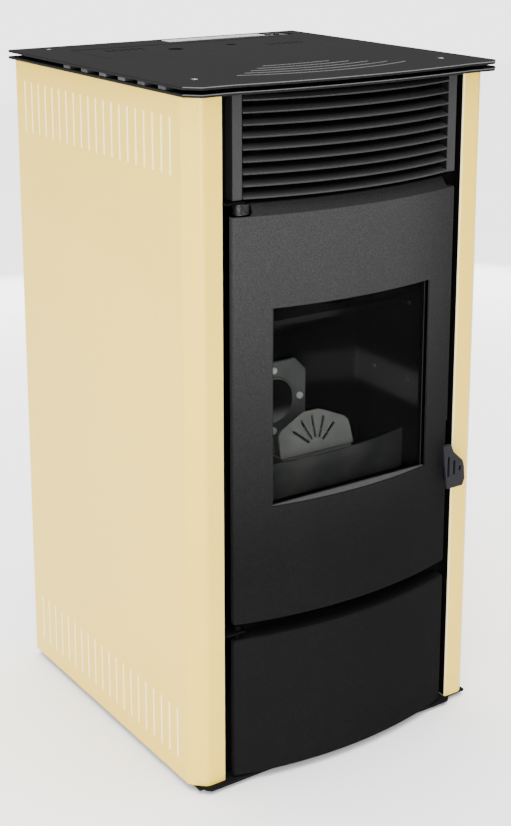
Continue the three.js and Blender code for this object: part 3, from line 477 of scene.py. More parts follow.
def sooty_liner():
    """Steel firebox sheet with soot, streaks running down it, a lighter band on its right that is lighter still on
    the right wall, and a lighter patch high on the left.
    """
    surface = Surface("sooty_liner")
    clouds = surface.noise(9.0, 5.0, 0.6)
    streaks = surface.noise(70.0, 4.0, 0.65, surface.stretched((1.0, 1.0, 0.1)))
    grit = surface.noise(900.0, 3.0, 0.7)
    x = surface.axis(0)
    height = surface.axis(2) + x * 0.12 + clouds * 0.01
    # A lighter band across the right side and a lighter patch high on the left.
    band = height.step(0.505, 0.52) * (1.0 - height.step(0.553, 0.57)) * x.step(0.045, 0.075)
    pale_patch = height.step(0.60, 0.605) * (1.0 - x.step(0.0, 0.04))
    soot = surface.mix((clouds * streaks * 1.4).clamped(), grey(0.0003), grey(0.0016))
    on_wall = x.step(LINER_X - 10 * MM, LINER_X - 2 * MM)
    marks = (band + pale_patch * 0.9).clamped() * (0.55 + grit * 0.4)
    return surface.set(
        specular_ior_level=0.02,
        base_color=surface.mix(marks, soot, surface.mix(on_wall, grey(0.024), grey(0.05))),
        roughness=0.62 + grit * 0.25,
        normal=surface.relief(grit, 0.06 * MM, 0.6, surface.relief(streaks, 0.15 * MM, 0.4)),
    ).material


def furnace_steel():
    """Dark heat-blued steel plate, brushed one way and stained by heat."""
    surface = Surface("furnace_steel")
    brushed = surface.noise(240.0, 4.0, 0.65, surface.stretched((0.08, 1.0, 1.0)))
    heat_stain_and_painted_light = surface.noise(16.0, 4.0, 0.6)
    grit = surface.noise(1100.0, 2.0, 0.7)
    return surface.set(
        base_color=surface.mix(heat_stain_and_painted_light.step(0.35, 0.7), (0.032, 0.032, 0.034), (0.07, 0.069, 0.067)),
        metallic=0.5,
        roughness=0.42 + brushed * 0.2,
        normal=surface.relief(grit, 0.04 * MM, 0.5, surface.relief(brushed, 0.03 * MM, 0.6)),
    ).material


def flange_steel():
    """Plain grey steel of the chute's flange and rim, hazed by ash."""
    surface = Surface("flange_steel")
    haze = surface.noise(24.0, 4.0, 0.6)
    grit = surface.noise(1100.0, 2.0, 0.7)
    return surface.set(
        base_color=surface.mix(haze.step(0.3, 0.7), (0.13, 0.13, 0.133), (0.2, 0.199, 0.196)),
        metallic=0.35,
        roughness=0.46 + haze * 0.16,
        normal=surface.relief(grit, 0.05 * MM, 0.6),
    ).material


def chute_bore():
    """Sooty bore of the chute, with painted light: its floor is painted pale for the light that falls into it."""
    surface = Surface("chute_bore")
    clouds = surface.noise(30.0, 4.0, 0.6)
    grit = surface.noise(900.0, 3.0, 0.7)
    height = surface.axis(2) + clouds * 0.008
    # Painted light: the bore's floor is painted pale where light falls into the chute.
    floor = 1.0 - height.step(CHUTE_Z - 29 * MM, CHUTE_Z - 3 * MM)
    return surface.set(
        specular_ior_level=0.1,
        base_color=surface.mix(floor, grey(0.002), grey(0.34)),
        roughness=0.6 + grit * 0.25,
        normal=surface.relief(grit, 0.08 * MM, 0.7),
    ).material


def cast_grate():
    """Rough cast iron, greyed with fine ash that gathers in its hollows."""
    surface = Surface("cast_grate")
    casting = surface.noise(330.0, 4.0, 0.65)
    ash = surface.noise(45.0, 5.0, 0.6)
    pits = surface.cells(520.0)
    return surface.set(
        base_color=surface.mix((ash * 1.3 - 0.15).clamped(), grey(0.075), (0.175, 0.173, 0.17)),
        metallic=0.2,
        roughness=0.62 + casting * 0.25,
        normal=surface.relief(casting, 0.25 * MM, 0.7, surface.relief(pits, 0.1 * MM, 0.5)),
    ).material


def zinc_sheet():
    """Galvanised sheet with its frosty spangle."""
    surface = Surface("zinc_sheet")
    crystal = surface.node("ShaderNodeSeparateColor", {0: surface.cells(75.0, 1)})
    haze = surface.noise(25.0, 4.0, 0.6)
    return surface.set(
        base_color=surface.mix(crystal, (0.50, 0.51, 0.53), (0.66, 0.67, 0.68)),
        metallic=0.9,
        roughness=(0.30 + crystal * 0.16 + haze * 0.14).clamped(),
        normal=surface.relief(haze, 0.15 * MM, 0.25),
    ).material


def plain_steel():
    """Bright turned or plated steel with fine scratches."""
    surface = Surface("plain_steel")
    scratch = surface.noise(500.0, 4.0, 0.6, surface.stretched((1.0, 0.1, 1.0)))
    spots = surface.noise(120.0, 3.0, 0.6)
    return surface.set(
        base_color=surface.mix(spots.step(0.45, 0.7), (0.72, 0.72, 0.73), (0.55, 0.54, 0.53)),
        metallic=1.0,
        roughness=0.22 + scratch * 0.16,
        normal=surface.relief(scratch, 0.02 * MM, 0.5),
    ).material


def bolt_zinc():
    """Pale zinc plating of the chute's bolts, dulled by heat."""
    surface = Surface("bolt_zinc")
    haze = surface.noise(200.0, 4.0, 0.6)
    return surface.set(
        base_color=surface.mix(haze.step(0.35, 0.7), grey(1.0), grey(0.8)),
        metallic=0.1,
        roughness=0.3 + haze * 0.2,
        normal=surface.relief(haze, 0.03 * MM, 0.5),
    ).material


def worn_steel():
    """Dark pitted casting of the hinge knuckle, greyed in spots."""
    surface = Surface("worn_steel")
    pits = surface.noise(430.0, 4.0, 0.7)
    rust = surface.noise(180.0, 4.0, 0.6)
    return surface.set(
        base_color=surface.mix(pits.step(0.5, 0.62), grey(0.002), grey(0.03)),
        metallic=0.6,
        roughness=0.3 + rust * 0.3,
        normal=surface.relief(rust, 0.6 * MM, 0.9, surface.relief(pits, 0.15 * MM, 0.8)),
    ).material


def window_glass():
    """Heat-resistant glass: clear, with a faint film of smoke towards its edges."""
    surface = Surface("window_glass")
    film = surface.noise(14.0, 4.0, 0.6)
    smears = surface.noise(30.0, 4.0, 0.6, surface.stretched((0.25, 1.0, 1.0)))
    edge_on = surface.node("ShaderNodeLayerWeight", {"Blend": 0.32}, 1)
    clear = surface.node("ShaderNodeBsdfTransparent", {"Color": (0.86, 0.87, 0.86, 1)})
    surface.set(
        specular_ior_level=0.2,
        base_color=surface.mix(film, grey(0.001), grey(0.003)),
        roughness=0.05 + smears * 0.07)
    shine = (0.01 + edge_on * 0.25 + film * 0.012).clamped()
    coated = Wire(surface, surface.shader.outputs[0])
    mixed = surface.node("ShaderNodeMixShader", {0: shine, 1: clear, 2: coated})
    surface.feed(surface.tree.nodes["Material Output"].inputs["Surface"], mixed)
    return surface.material


def mineral_rope():
    """Woven mineral-fibre rope, off-white greyed by soot."""
    surface = Surface("mineral_rope")
    fibres = surface.noise(700.0, 4.0, 0.7)
    soot = surface.noise(20.0, 4.0, 0.6)
    weave = surface.cells(420.0)
    return surface.set(
        base_color=surface.mix(soot.step(0.35, 0.7), (0.34, 0.33, 0.30), (0.13, 0.125, 0.115)),
        roughness=0.88 + fibres * 0.1,
        normal=surface.relief(fibres, 0.2 * MM, 0.8, surface.relief(weave, 0.3 * MM, 0.7)),
    ).material


def slot_board():
    """Pale board behind the side slots, near white as painted light that shows in the slots."""
    colour = tuple(bpy.context.scene.stove_colours.slot_board)
    surface = Surface("slot_board")
    fibres = surface.noise(500.0, 4.0, 0.7)
    return surface.set(
        base_color=surface.mix(fibres * 0.5, colour, toned(colour, 0.94)),
        roughness=0.7 + fibres * 0.2,
        normal=surface.relief(fibres, 0.03 * MM, 0.4),
    ).material


def circuit_laminate():
    """Green circuit laminate with paler copper tracks under the lacquer."""
    surface = Surface("circuit_laminate")
    tracks = surface.node("ShaderNodeTexBrick", {
        "Vector": surface.place, "Scale": 90.0, "Mortar Size": 0.03,
        "Color1": opaque(grey(0)), "Color2": opaque(grey(0)), "Mortar": opaque(grey(1))})
    return surface.set(
        base_color=surface.mix(tracks, (0.012, 0.09, 0.03), (0.05, 0.2, 0.08)),
        roughness=0.32 + surface.noise(200.0) * 0.15,
    ).material


def studio_floor():
    """Pale seamless studio floor."""
    surface = Surface("studio_floor")
    mottle = surface.noise(2.0, 3.0)
    return surface.set(
        base_color=surface.mix(mottle, grey(0.88), grey(0.91)),
        roughness=0.75 + mottle * 0.1,
    ).material


MADE = {}


def once(make):
    """The finish or geometry tree that a function makes, made at its first use."""
    if make.__name__ not in MADE:
        MADE[make.__name__] = make()
    return MADE[make.__name__]


# ------------------------------------------------------------------ making and settling pieces


def new_piece(name, mesh, make=None):
    """A new object in the scene, dressed in its finish."""
    piece = bpy.data.objects.new(name, mesh)
    bpy.context.scene.collection.objects.link(piece)
    if make:
        dress(piece, make)
    return piece


def dress(piece, make):
    """Gives every slot of a piece or frame node one finish."""
    if not piece.material_slots:
        piece.data.materials.append(once(make))
    for slot in piece.material_slots:
        slot.material = once(make)


def evaluated_mesh(thing):
    """A plain mesh of what a curve or a piece with modifiers shows."""
    graph = bpy.context.evaluated_depsgraph_get()
    return bpy.data.meshes.new_from_object(thing.evaluated_get(graph))


def settle(piece):
    """Turns a piece's modifiers into plain mesh."""
    mesh = evaluated_mesh(piece)
    piece.modifiers.clear()
    old = piece.data
    piece.data = mesh
    bpy.data.meshes.remove(old)
    return piece


def modify(piece, kind, **settings):
    """Adds a modifier with its settings."""
    modifier = piece.modifiers.new(kind.title().replace("_", " "), kind)
    for key, value in settings.items():
        setattr(modifier, key, value)
    return modifier


def soften(piece, width, angle=35, segments=2):
    """Rounds the edges sharper than that angle, and shades the rest smooth."""
    modify(
        piece, "BEVEL", width=width, segments=segments, limit_method="ANGLE",
        angle_limit=math.radians(angle), use_clamp_overlap=True, harden_normals=False)
    settle(piece)
    return smooth(piece)


def smooth(piece, angle=32):
    """Shades the soft edges smooth, with the large faces kept flat."""
    piece.data.shade_smooth()
    piece.data.set_sharp_from_angle(angle=math.radians(angle))
    modify(piece, "WEIGHTED_NORMAL", keep_sharp=True, weight=90, mode="FACE_AREA")
    return settle(piece)


def cut_with(piece, *cutters):
    """Takes the cutters out of a closed piece."""
    for cutter in cutters:
        modify(piece, "BOOLEAN", operation="DIFFERENCE", solver="EXACT", object=cutter)
    settle(piece)
    for cutter in cutters:
        bpy.data.objects.remove(cutter)
    return piece


@contextmanager
def editing(mesh):
    """Opens a mesh to be edited, and writes it back at the end."""
    shape = bmesh.new()
    shape.from_mesh(mesh)
    yield shape
    shape.to_mesh(mesh)
    shape.free()


def joined(name, parts):
    """One piece from several of one finish."""
    mesh = bpy.data.meshes.new(name)
    with editing(mesh) as shape:
        for part in parts:
            shape.from_mesh(part.data)
    for slot in parts[0].material_slots:
        mesh.materials.append(slot.material)
    for part in parts:
        bpy.data.objects.remove(part)
    return smooth(new_piece(name, mesh))


def carry(piece, body, slot, *nodes):
    """The piece rides on a body and stands for frame nodes. Its slot is not used."""
    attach(piece, body)
    if nodes:
        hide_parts(*nodes)
    return piece


def frame_copy(node, make, edge):
    """A copy of a frame node with its triangles merged into flat faces and its edges rounded."""
    mesh = frame["nodes"][node].data.copy()
    with editing(mesh) as shape:
        bmesh.ops.remove_doubles(shape, verts=shape.verts, dist=2 * WELD)
        bmesh.ops.dissolve_limit(
            shape, angle_limit=math.radians(0.4), verts=shape.verts, edges=shape.edges)
    mesh.materials.clear()
    return soften(new_piece(node + "_finished", mesh, make), edge)


# ------------------------------------------------------------------ sheets, skins and turned shapes

UPRIGHT = Matrix(((1, 0, 0, 0), (0, 0, -1, 0), (0, 1, 0, 0), (0, 0, 0, 1)))  # XY to XZ, facing -Y
SIDEWAYS = Matrix(((0, 0, 1, 0), (1, 0, 0, 0), (0, 1, 0, 0), (0, 0, 0, 1)))  # XY to YZ, facing +X


def cut_sheet(name, loops, thickness, edge, make, turn=Matrix(), middle=(0, 0, 0)):
    """A flat sheet with holes and rounded edges. Its outline lies in XY until it is turned.

    middle is the sheet's mid-plane place after the turn."""
    curve = bpy.data.curves.new(name, "CURVE")
    curve.dimensions = "2D"
    curve.fill_mode = "BOTH"
    curve.extrude = thickness / 2 - edge
    curve.bevel_depth = edge
    curve.bevel_resolution = 1
    curve.offset = -edge
    for loop in loops:
        spline = curve.splines.new("POLY")
        spline.points.add(len(loop) - 1)
        for point, (x, y) in zip(spline.points, loop):
            point.co = (x, y, 0, 1)
        spline.use_cyclic_u = True
    drawn = new_piece(name + "_outline", curve)
    mesh = evaluated_mesh(drawn)
    bpy.data.objects.remove(drawn)
    bpy.data.curves.remove(curve)
    with editing(mesh) as shape:
        bmesh.ops.remove_doubles(shape, verts=shape.verts, dist=WELD)
        bmesh.ops.recalc_face_normals(shape, faces=shape.faces)
    mesh.transform(Matrix.Translation(middle) @ turn)
    mesh.materials.clear()
    return smooth(new_piece(name, mesh, make), 25)


def level_sheet(name, loops, z, edge, make):
    """A level sheet between two heights, from loops of (x, y) points."""
    return cut_sheet(name, loops, z[1] - z[0], edge, make, middle=(0, 0, (z[0] + z[1]) / 2))


def front_sheet(name, loops, thickness, edge, make, y, x=0):
    """A sheet that faces the front, with its middle at y, from loops of (x, z) points."""
    return cut_sheet(name, loops, thickness, edge, make, UPRIGHT, (x, y, 0))


def side_sheet(name, loops, thickness, edge, make, x, y=0):
    """A sheet that faces sideways, with its middle at x, from loops of (y, z) points."""
    return cut_sheet(name, loops, thickness, edge, make, SIDEWAYS, (x, y, 0))


def skin_mesh(name, rings, ends="capped"):
    """Quads round a run of rings, whose ends are capped or looped into each other.

    With open ends the rings are lines, and the mesh is a strip that keeps the way it faces."""
    mesh = bpy.data.meshes.new(name)
    with editing(mesh) as shape:
        rows = [[shape.verts.new(point) for point in ring] for ring in rings]
        count = len(rows[0])
        following = rows[1:] + rows[:1] if ends == "looped" else rows[1:]
        for low, high in zip(rows, following):
            for i in range(count - 1 if ends == "open" else count):
                j = (i + 1) % count
                shape.faces.new((low[i], low[j], high[j], high[i]))
        if ends == "capped":
            shape.faces.new(rows[0][::-1])
            shape.faces.new(rows[-1])
        bmesh.ops.remove_doubles(shape, verts=shape.verts, dist=WELD)
        if ends != "open":
            bmesh.ops.recalc_face_normals(shape, faces=shape.faces)
    return mesh


def lathe(name, profile, make, sides, turn=Matrix(), centre=(0, 0, 0)):
    """A round piece from a profile of (radius, height) pairs, flat at both ends."""
    rings = [[(x, y, height) for x, y in circle(0, 0, radius, sides)] for radius, height in profile]
    mesh = skin_mesh(name, rings)
    mesh.transform(Matrix.Translation(centre) @ turn)
    return smooth(new_piece(name, mesh, make))


def hoop(name, x, z, section, make, *nodes):
    """A ring turned about a line along Y, from a closed section of (y, radius) pairs."""
    rings = [[(px, y, pz) for px, pz in circle(x, z, radius, 64)] for y, radius in section]
    piece = new_piece(name, skin_mesh(name, rings, "looped"), make)
    return carry(smooth(piece, 40), ROOT, "dark_steel", *nodes)


def block(name, *reach):
    """A plain cutter from its reach along X, Y and Z."""
    low, high = (Vector(corner) for corner in zip(*reach))
    mesh = bpy.data.meshes.new(name)
    with editing(mesh) as shape:
        place = Matrix.Translation((high + low) / 2) @ Matrix.Diagonal((*(high - low), 1))
        bmesh.ops.create_cube(shape, size=1, matrix=place)
    return new_piece(name, mesh)


def prism(name, outline, z):
    """An upright cutter between two heights, from an outline of (x, y) points."""
    return new_piece(name, skin_mesh(name, [[(x, y, height) for x, y in outline] for height in z]))


def pin_bore(name, *z):
    """Cutter for the doors' hinge pin, between two heights in millimetres."""
    return prism(name, circle(HINGE.x, HINGE.y, PIN_BORE, 24), [height * MM for height in z])


# ------------------------------------------------------------------ outlines


def arc(radius, middle):
    """The curve's y at each x, on a circle whose lowest point is at middle."""
    return lambda x: middle + radius - math.sqrt(radius ** 2 - x ** 2)


def bow(half_chord, end_y, mid_y):
    """The bowed front's y at each x."""
    rise = end_y - mid_y
    return arc((half_chord ** 2 + rise ** 2) / (2 * rise), mid_y)


def between(low, high, steps):
    """Evenly spaced values from low to high."""
    return [low + (high - low) * i / steps for i in range(steps + 1)]


def bow_line(curve, low, high, steps, back=0.0):
    """Points along a curve, moved back by a distance."""
    return [(x, curve(x) + back) for x in between(low, high, steps)]


def circle(x, y, radius, sides=40):
    """A round outline."""
    return [(x + radius * math.cos(2 * math.pi * i / sides),
             y + radius * math.sin(2 * math.pi * i / sides)) for i in range(sides)]


def stadium(x, y, width, length):
    """A slot with round ends, long along Y."""
    sides = 8
    radius = width / 2
    reach = length / 2 - radius
    angles = [math.pi * i / sides for i in range(sides + 1)]
    top = [(x + radius * math.cos(a), y + reach + radius * math.sin(a)) for a in angles]
    bottom = [(2 * x - px, 2 * y - py) for px, py in top]
    return top + bottom


def rounded(points, radii, steps, closed=False):
    """A path with its corners turned into arcs. An open path keeps its two ends."""
    points = [Vector(p) for p in points]
    count = len(points)
    corners = range(count) if closed else range(1, count - 1)
    if isinstance(radii, (int, float)):
        radii = [radii] * len(corners)
    path = [] if closed else [points[0]]
    for i, radius in zip(corners, radii):
        corner = points[i]
        back = (points[i - 1] - corner).normalized()
        ahead = (points[(i + 1) % count] - corner).normalized()
        half = back.angle(ahead) / 2
        start = corner + back * (radius / math.tan(half))
        centre = corner + (back + ahead).normalized() * (radius / math.sin(half))
        turn = math.copysign(math.pi - 2 * half, ahead.cross(back))
        spoke = start - centre
        path += [centre + Matrix.Rotation(turn * k / steps, 2) @ spoke for k in range(steps + 1)]
    if not closed:
        path.append(points[-1])
    return [tuple(p) for p in path]


def rectangle(x, y, radius=1.5 * MM, steps=4):
    """An outline between two values of x and of y, with round corners."""
    corners = [(x[0], y[0]), (x[1], y[0]), (x[1], y[1]), (x[0], y[1])]
    return rounded(corners, radius, steps, closed=True)


def plate_shape(points, radius, steps):
    """A closed outline through points in millimetres, with its corners rounded."""
    return rounded(mm(points), radius, steps, closed=True)


def footprint(node, gap, radius):
    """A frame node's rectangle seen from above, grown by a gap."""
    low, high = box(node)
    return rectangle((low.x - gap, high.x + gap), (low.y - gap, high.y + gap), radius)


# ------------------------------------------------------------------ geometry trees


def geometry_graph(name, inputs):
    """A geometry tree with named inputs. Returns its graph and a wire from each input."""
    tree = bpy.data.node_groups.new(name, "GeometryNodeTree")
    for way in ("OUTPUT", "INPUT"):
        tree.interface.new_socket(name="Geometry", in_out=way, socket_type="NodeSocketGeometry")
    for label, kind, default in [*inputs, ("Finish", "Material", None)]:
        socket = tree.interface.new_socket(
            name=label, in_out="INPUT", socket_type="NodeSocket" + kind)
        if default is not None:
            socket.default_value = default
    graph = Graph(tree)
    entry = tree.nodes.new("NodeGroupInput")
    wires = {socket.name: Wire(graph, socket) for socket in entry.outputs if socket.name}
    return graph, wires


def copies_at(graph, points, instance, **sockets):
    """Sets a copy of a shape at each point."""
    return graph.node(
        "GeometryNodeInstanceOnPoints", {"Points": points, "Instance": instance, **sockets})


def close_graph(graph, geometry, wires):
    """Ends a tree in Realize Instances and Set Material."""
    real = graph.node("GeometryNodeRealizeInstances", {"Geometry": geometry})
    painted = graph.node("GeometryNodeSetMaterial", {"Geometry": real, "Material": wires["Finish"]})
    graph.node("NodeGroupOutput", {"Geometry": painted})
    return graph.tree


def row_tree():
    """Repeats a piece along a straight line."""
    graph, wires = geometry_graph("Row of copies", [
        ("Count", "Int", LOUVRE_COUNT), ("Step", "Vector", (0, 0, 16 * MM))])
    line = graph.node(
        "GeometryNodeMeshLine", {"Count": wires["Count"], "Offset": wires["Step"]}, mode="OFFSET")
    return close_graph(graph, copies_at(graph, line, wires["Geometry"]), wires)


def slot_tree():
    """Cuts a row of upright slots through a folded sheet."""
    graph, wires = geometry_graph("Row of slots", [
        ("Count", "Int", SLOT_COUNT),
        ("First", "Vector", (0, 0, 0)),
        ("Step", "Vector", (0, 20 * MM, 0)),
        ("Slot size", "Vector", (3 * PANEL_SHEET, SLOT_WIDTH, 77 * MM))])
    line = graph.node(
        "GeometryNodeMeshLine",
        {"Count": wires["Count"], "Start Location": wires["First"], "Offset": wires["Step"]},
        mode="OFFSET")
    slot = graph.node("GeometryNodeMeshCube", {"Size": wires["Slot size"]})
    slots = graph.node("GeometryNodeRealizeInstances", {"Geometry": copies_at(graph, line, slot)})
    cut = graph.node(
        "GeometryNodeMeshBoolean", {"Mesh 1": wires["Geometry"], "Mesh 2": slots},
        operation="DIFFERENCE", solver="EXACT")
    return close_graph(graph, cut, wires)


def fastener_tree():
    """Sets a screw, bolt or rivet at each point of a marker mesh, each turned to its own angle."""
    graph, wires = geometry_graph("Fasteners", [
        ("Places", "Object", None), ("Facing", "Rotation", None), ("Seed", "Int", 7)])
    places = graph.node("GeometryNodeObjectInfo", {"Object": wires["Places"]}, "Geometry")
    spin = graph.node(
        "FunctionNodeRandomValue",
        {"Min": (0, 0, 0), "Max": (0, 0, 2 * math.pi), "Seed": wires["Seed"]},
        data_type="FLOAT_VECTOR")
    own_angle = graph.node("FunctionNodeEulerToRotation", {0: spin})
    turn = graph.node(
        "FunctionNodeRotateRotation", {0: wires["Facing"], 1: own_angle}, rotation_space="LOCAL")
    return close_graph(graph, copies_at(graph, places, wires["Geometry"], Rotation=turn), wires)


def grow(piece, make_tree, make_finish, **inputs):
    """Runs a geometry tree on a piece and keeps the plain mesh. Inputs go by their names."""
    tree = once(make_tree)
    modifier = modify(piece, "NODES", node_group=tree)
    identifiers = {item.name: item.identifier for item in tree.interface.items_tree
                   if item.in_out == "INPUT"}
    modifier[identifiers["Finish"]] = once(make_finish)
    for label, value in inputs.items():
        modifier[identifiers[label.replace("_", " ").capitalize()]] = value
    return settle(piece)


def fasten(name, places, facing, profile, make, sides):
    """Sets one turned fastener at each place. Its profile runs from under the head, up the axis."""
    markers = bpy.data.meshes.new(name + "_places")
    markers.from_pydata([tuple(p) for p in places], [], [])
    spots = new_piece(name + "_places", markers)
    piece = lathe(name, profile, make, sides)
    grow(piece, fastener_tree, make, Places=spots, Facing=facing, Seed=len(places))
    bpy.data.objects.remove(spots)
    return carry(smooth(piece), ROOT, "bare_steel")


FACING_UP = (0, 0, 0)
FACING_FRONT = (math.pi / 2, 0, 0)
FACING_BACK = (-math.pi / 2, 0, 0)
FACING_RIGHT = (0, math.pi / 2, 0)
FACING_LEFT = (0, -math.pi / 2, 0)

# Profiles of fasteners as (radius, height) pairs, each seated a little into its sheet.
PAN_HEAD = mm([(4, -0.3), (4, 0.99), (3.2, 2.024), (1.95, 2.2), (1.5, 2.2), (1.2, 0.77)])
SUNK_HEAD = mm([(4.6, 0), (4.6, 2.9), (3.9, 3.8), (2.2, 3.9), (1.9, 3.9), (1.5, 2.2)])
BOLT_HEAD = mm([(5.2, -0.4), (5.2, 3.2), (4.6, 4), (2.2, 4.1)])
RIVET_HEAD = mm([(3, -0.3), (2.8, 0.8), (1.8, 1.5), (0.8, 1.8)])


# ------------------------------------------------------------------ side panels


def on_side(stem, side):
    """The name of a piece's left or right one; side is -1 or 1."""
    return stem + ("_left" if side < 0 else "_right")


def panel_path(side, fold, corner_fold):
    """Plan line of a side panel's outer face, from its left end to its right end."""
    low, high = box("side_panel_left")
    points = [
        (low.x + PANEL_RETURN, high.y), (low.x, high.y), (low.x, low.y + PANEL_CORNER),
        (low.x + PANEL_CORNER, low.y), (high.x, low.y), (high.x, low.y + PANEL_RETURN)]
    path = rounded(points, [fold, corner_fold, corner_fold, fold], 8)
    return path if side < 0 else [(-x, y) for x, y in reversed(path)]


def side_panel(side, sizes):
    """Folded sheet panel with its two rows of slots."""
    node = on_side("side_panel", side)
    low, high = box(node)
    path = panel_path(side, sizes.fold, sizes.corner_fold)
    mesh = skin_mesh(node, [[(x, y, z) for x, y in path] for z in (low.z, high.z)], "open")
    panel = new_piece(node + "_finished", mesh, cream_enamel)
    modify(panel, "SOLIDIFY", thickness=PANEL_SHEET, offset=-1, use_even_offset=True)
    settle(panel)
    outer = low.x if side < 0 else high.x
    for bottom, top in SLOT_ROWS:
        grow(panel, slot_tree, cream_enamel, Count=SLOT_COUNT,
             First=(outer, SLOT_Y[0], (bottom + top) / 2), Step=(0, SLOT_STEP, 0),
             Slot_size=(3 * PANEL_SHEET, SLOT_WIDTH, top - bottom))
    soften(panel, 0.35 * MM, 50)
    return carry(panel, ROOT, "cream_paint", node)


def slot_backing(side):
    """Pale board behind the slots of one panel, with a rib standing in each slot. Its near-white colour is painted
    light in the slots.
    """
    outer = box("side_panel_right")[1].x * side
    half_rib = SLOT_WIDTH / 2 - 0.2 * MM
    parts = []
    for row, (bottom, top) in enumerate(SLOT_ROWS):
        outline = rectangle((-half_rib, half_rib), (bottom + 0.3 * MM, top - 0.3 * MM), 0.5 * MM)
        rib = side_sheet(f"rib_{row}", [outline], 1.4 * MM, 0.2 * MM, slot_board,
                         outer - side * 1.1 * MM, SLOT_Y[0])
        grow(rib, row_tree, slot_board, Count=SLOT_COUNT, Step=(0, SLOT_STEP, 0))
        outline = rectangle(
            (SLOT_Y[0] - 9 * MM, SLOT_Y[1] + 9 * MM), (bottom - 8 * MM, top + 8 * MM))
        board = side_sheet(f"board_{row}", [outline], 0.8 * MM, 0.2 * MM, slot_board,
                           outer - side * 2.5 * MM)
        parts += [rib, board]
    return carry(joined(on_side("slot_board", side), parts), ROOT, "cream_paint")


def panel_seal(side):
    """Black felt strip on a panel's front return, against the door's frame."""
    low, high = box("side_panel_right")
    outline = rectangle((low.y + 2.6 * MM, low.y + PANEL_RETURN - 0.2 * MM),
                        (low.z + 1 * MM, high.z - 1 * MM), 0.6 * MM)
    strip = side_sheet(on_side("panel_seal", side), [outline], 0.6 * MM, 0.2 * MM, shade_black,
                       side * (low.x - 0.35 * MM))
    return carry(strip, ROOT, "rubber")


# ------------------------------------------------------------------ top plates and lid


def plate_outline(node):
    """A top plate's outline: bowed in front, with chamfered front corners."""
    low, high = box(node)
    curve = bow(PLATE_BOW_X, PLATE_LIP_Y, low.y)
    corners = [
        (high.x - PLATE_CHAMFER, PLATE_LIP_Y), (high.x, PLATE_LIP_Y + PLATE_CHAMFER),
        (high.x, high.y), (low.x, high.y), (low.x, PLATE_LIP_Y + PLATE_CHAMFER),
        (low.x + PLATE_CHAMFER, PLATE_LIP_Y)]
    line = bow_line(curve, -PLATE_BOW_X, PLATE_BOW_X, 48)
    radii = [2 * MM, 2 * MM, 1 * MM, 1 * MM, 2 * MM, 2 * MM]
    return line + rounded([line[-1], *corners, line[0]], radii, 4)[1:-1]


def curved_slot(index):
    """One of the nested warm-air slots in the top, each shorter than the one in front of it."""
    half = (143 - 21.5 * index) * MM
    curve = arc(415 * MM, (-222 + 22 * index) * MM)
    width = 2 * MM
    back = bow_line(curve, half, -half, 28, width)
    return bow_line(curve, -half, half, 28, -width) + back


def top_plate(level, openings, sizes):
    """The upper or lower of the two stacked plates, with its openings."""
    node = level + "_top_plate"
    low, high = box(node)
    loops = [plate_outline(node), *openings]
    plate = level_sheet(
        level + "_plate_finished", loops, (low.z, high.z), 2 * sizes.edge, plate_paint)
    return carry(plate, ROOT, "black_paint", node)


def upper_plate(sizes):
    """The top that shows, with openings for the lid, the controls, warm air and the screws."""
    openings = [rectangle(*LID_OPENING, 3 * MM), rectangle(*CONTROL_OPENING, 2 * MM)]
    openings += [curved_slot(i) for i in range(5)]
    openings += [circle(x, y, 4.9 * MM, 32) for x, y in TOP_SCREWS]
    return top_plate("upper", openings, sizes)


def lid_rod():
    """The rod that the hopper lid turns on."""
    reach = LID_OPENING[0][1] + 0.4 * MM
    rod = lathe("lid_rod", [(2 * MM, -reach), (2 * MM, reach)], shade_black, 20, SIDEWAYS, LID_ROD)
    return carry(rod, ROOT, "bare_steel")


def hopper_lid(sizes):
    """Lid with two groups of short slots and two finger holes."""
    low, high = box("hopper_lid")
    loops = [footprint("hopper_lid", 0, 2.5 * MM)]
    for i in range(6):
        loops.append(stadium((-147 + 11.4 * i) * MM, 150 * MM, 4 * MM, 22 * MM))
        loops.append(stadium((108 + 11.4 * i) * MM, 95 * MM, 4 * MM, 22 * MM))
    loops += [circle(-48 * MM, 118 * MM, 12 * MM), circle(56 * MM, 125 * MM, 8 * MM)]
    lid = level_sheet("lid_finished", loops, (low.z, high.z), sizes.edge, lid_paint)
    return carry(lid, "hopper_lid", "black_paint", "hopper_lid")


# ------------------------------------------------------------------ grille


def air_deflector():
    """Dark sheet between the columns, which turns the rising warm air out through the grille."""
    half = box("front_frame_plate")[1].x + 0.3 * MM
    outline = rectangle((-half, half), (DEFLECTOR_FOOT, OUTLET_TOP), 3 * MM)
    sheet = front_sheet("air_deflector", [outline], 1.2 * MM, 0.3 * MM, shade_black, DEFLECTOR_Y)
    return carry(sheet, ROOT, "frame_black")


def outlet_bars():
    """Upright flat bars that guard the warm-air outlet behind the louvres."""
    count, pitch, half = 5, 62 * MM, 11 * MM
    outline = rectangle((-half, half), (DEFLECTOR_FOOT + 16 * MM, OUTLET_TOP - 4 * MM), 1 * MM)
    bars = front_sheet("outlet_bars", [outline], 1 * MM, 0.3 * MM, bar_black,
                       DEFLECTOR_Y - 5 * MM, -pitch * (count - 1) / 2)
    grow(bars, row_tree, bar_black, Count=count, Step=(pitch, 0, 0))
    return carry(smooth(bars, 25), ROOT, "frame_black")


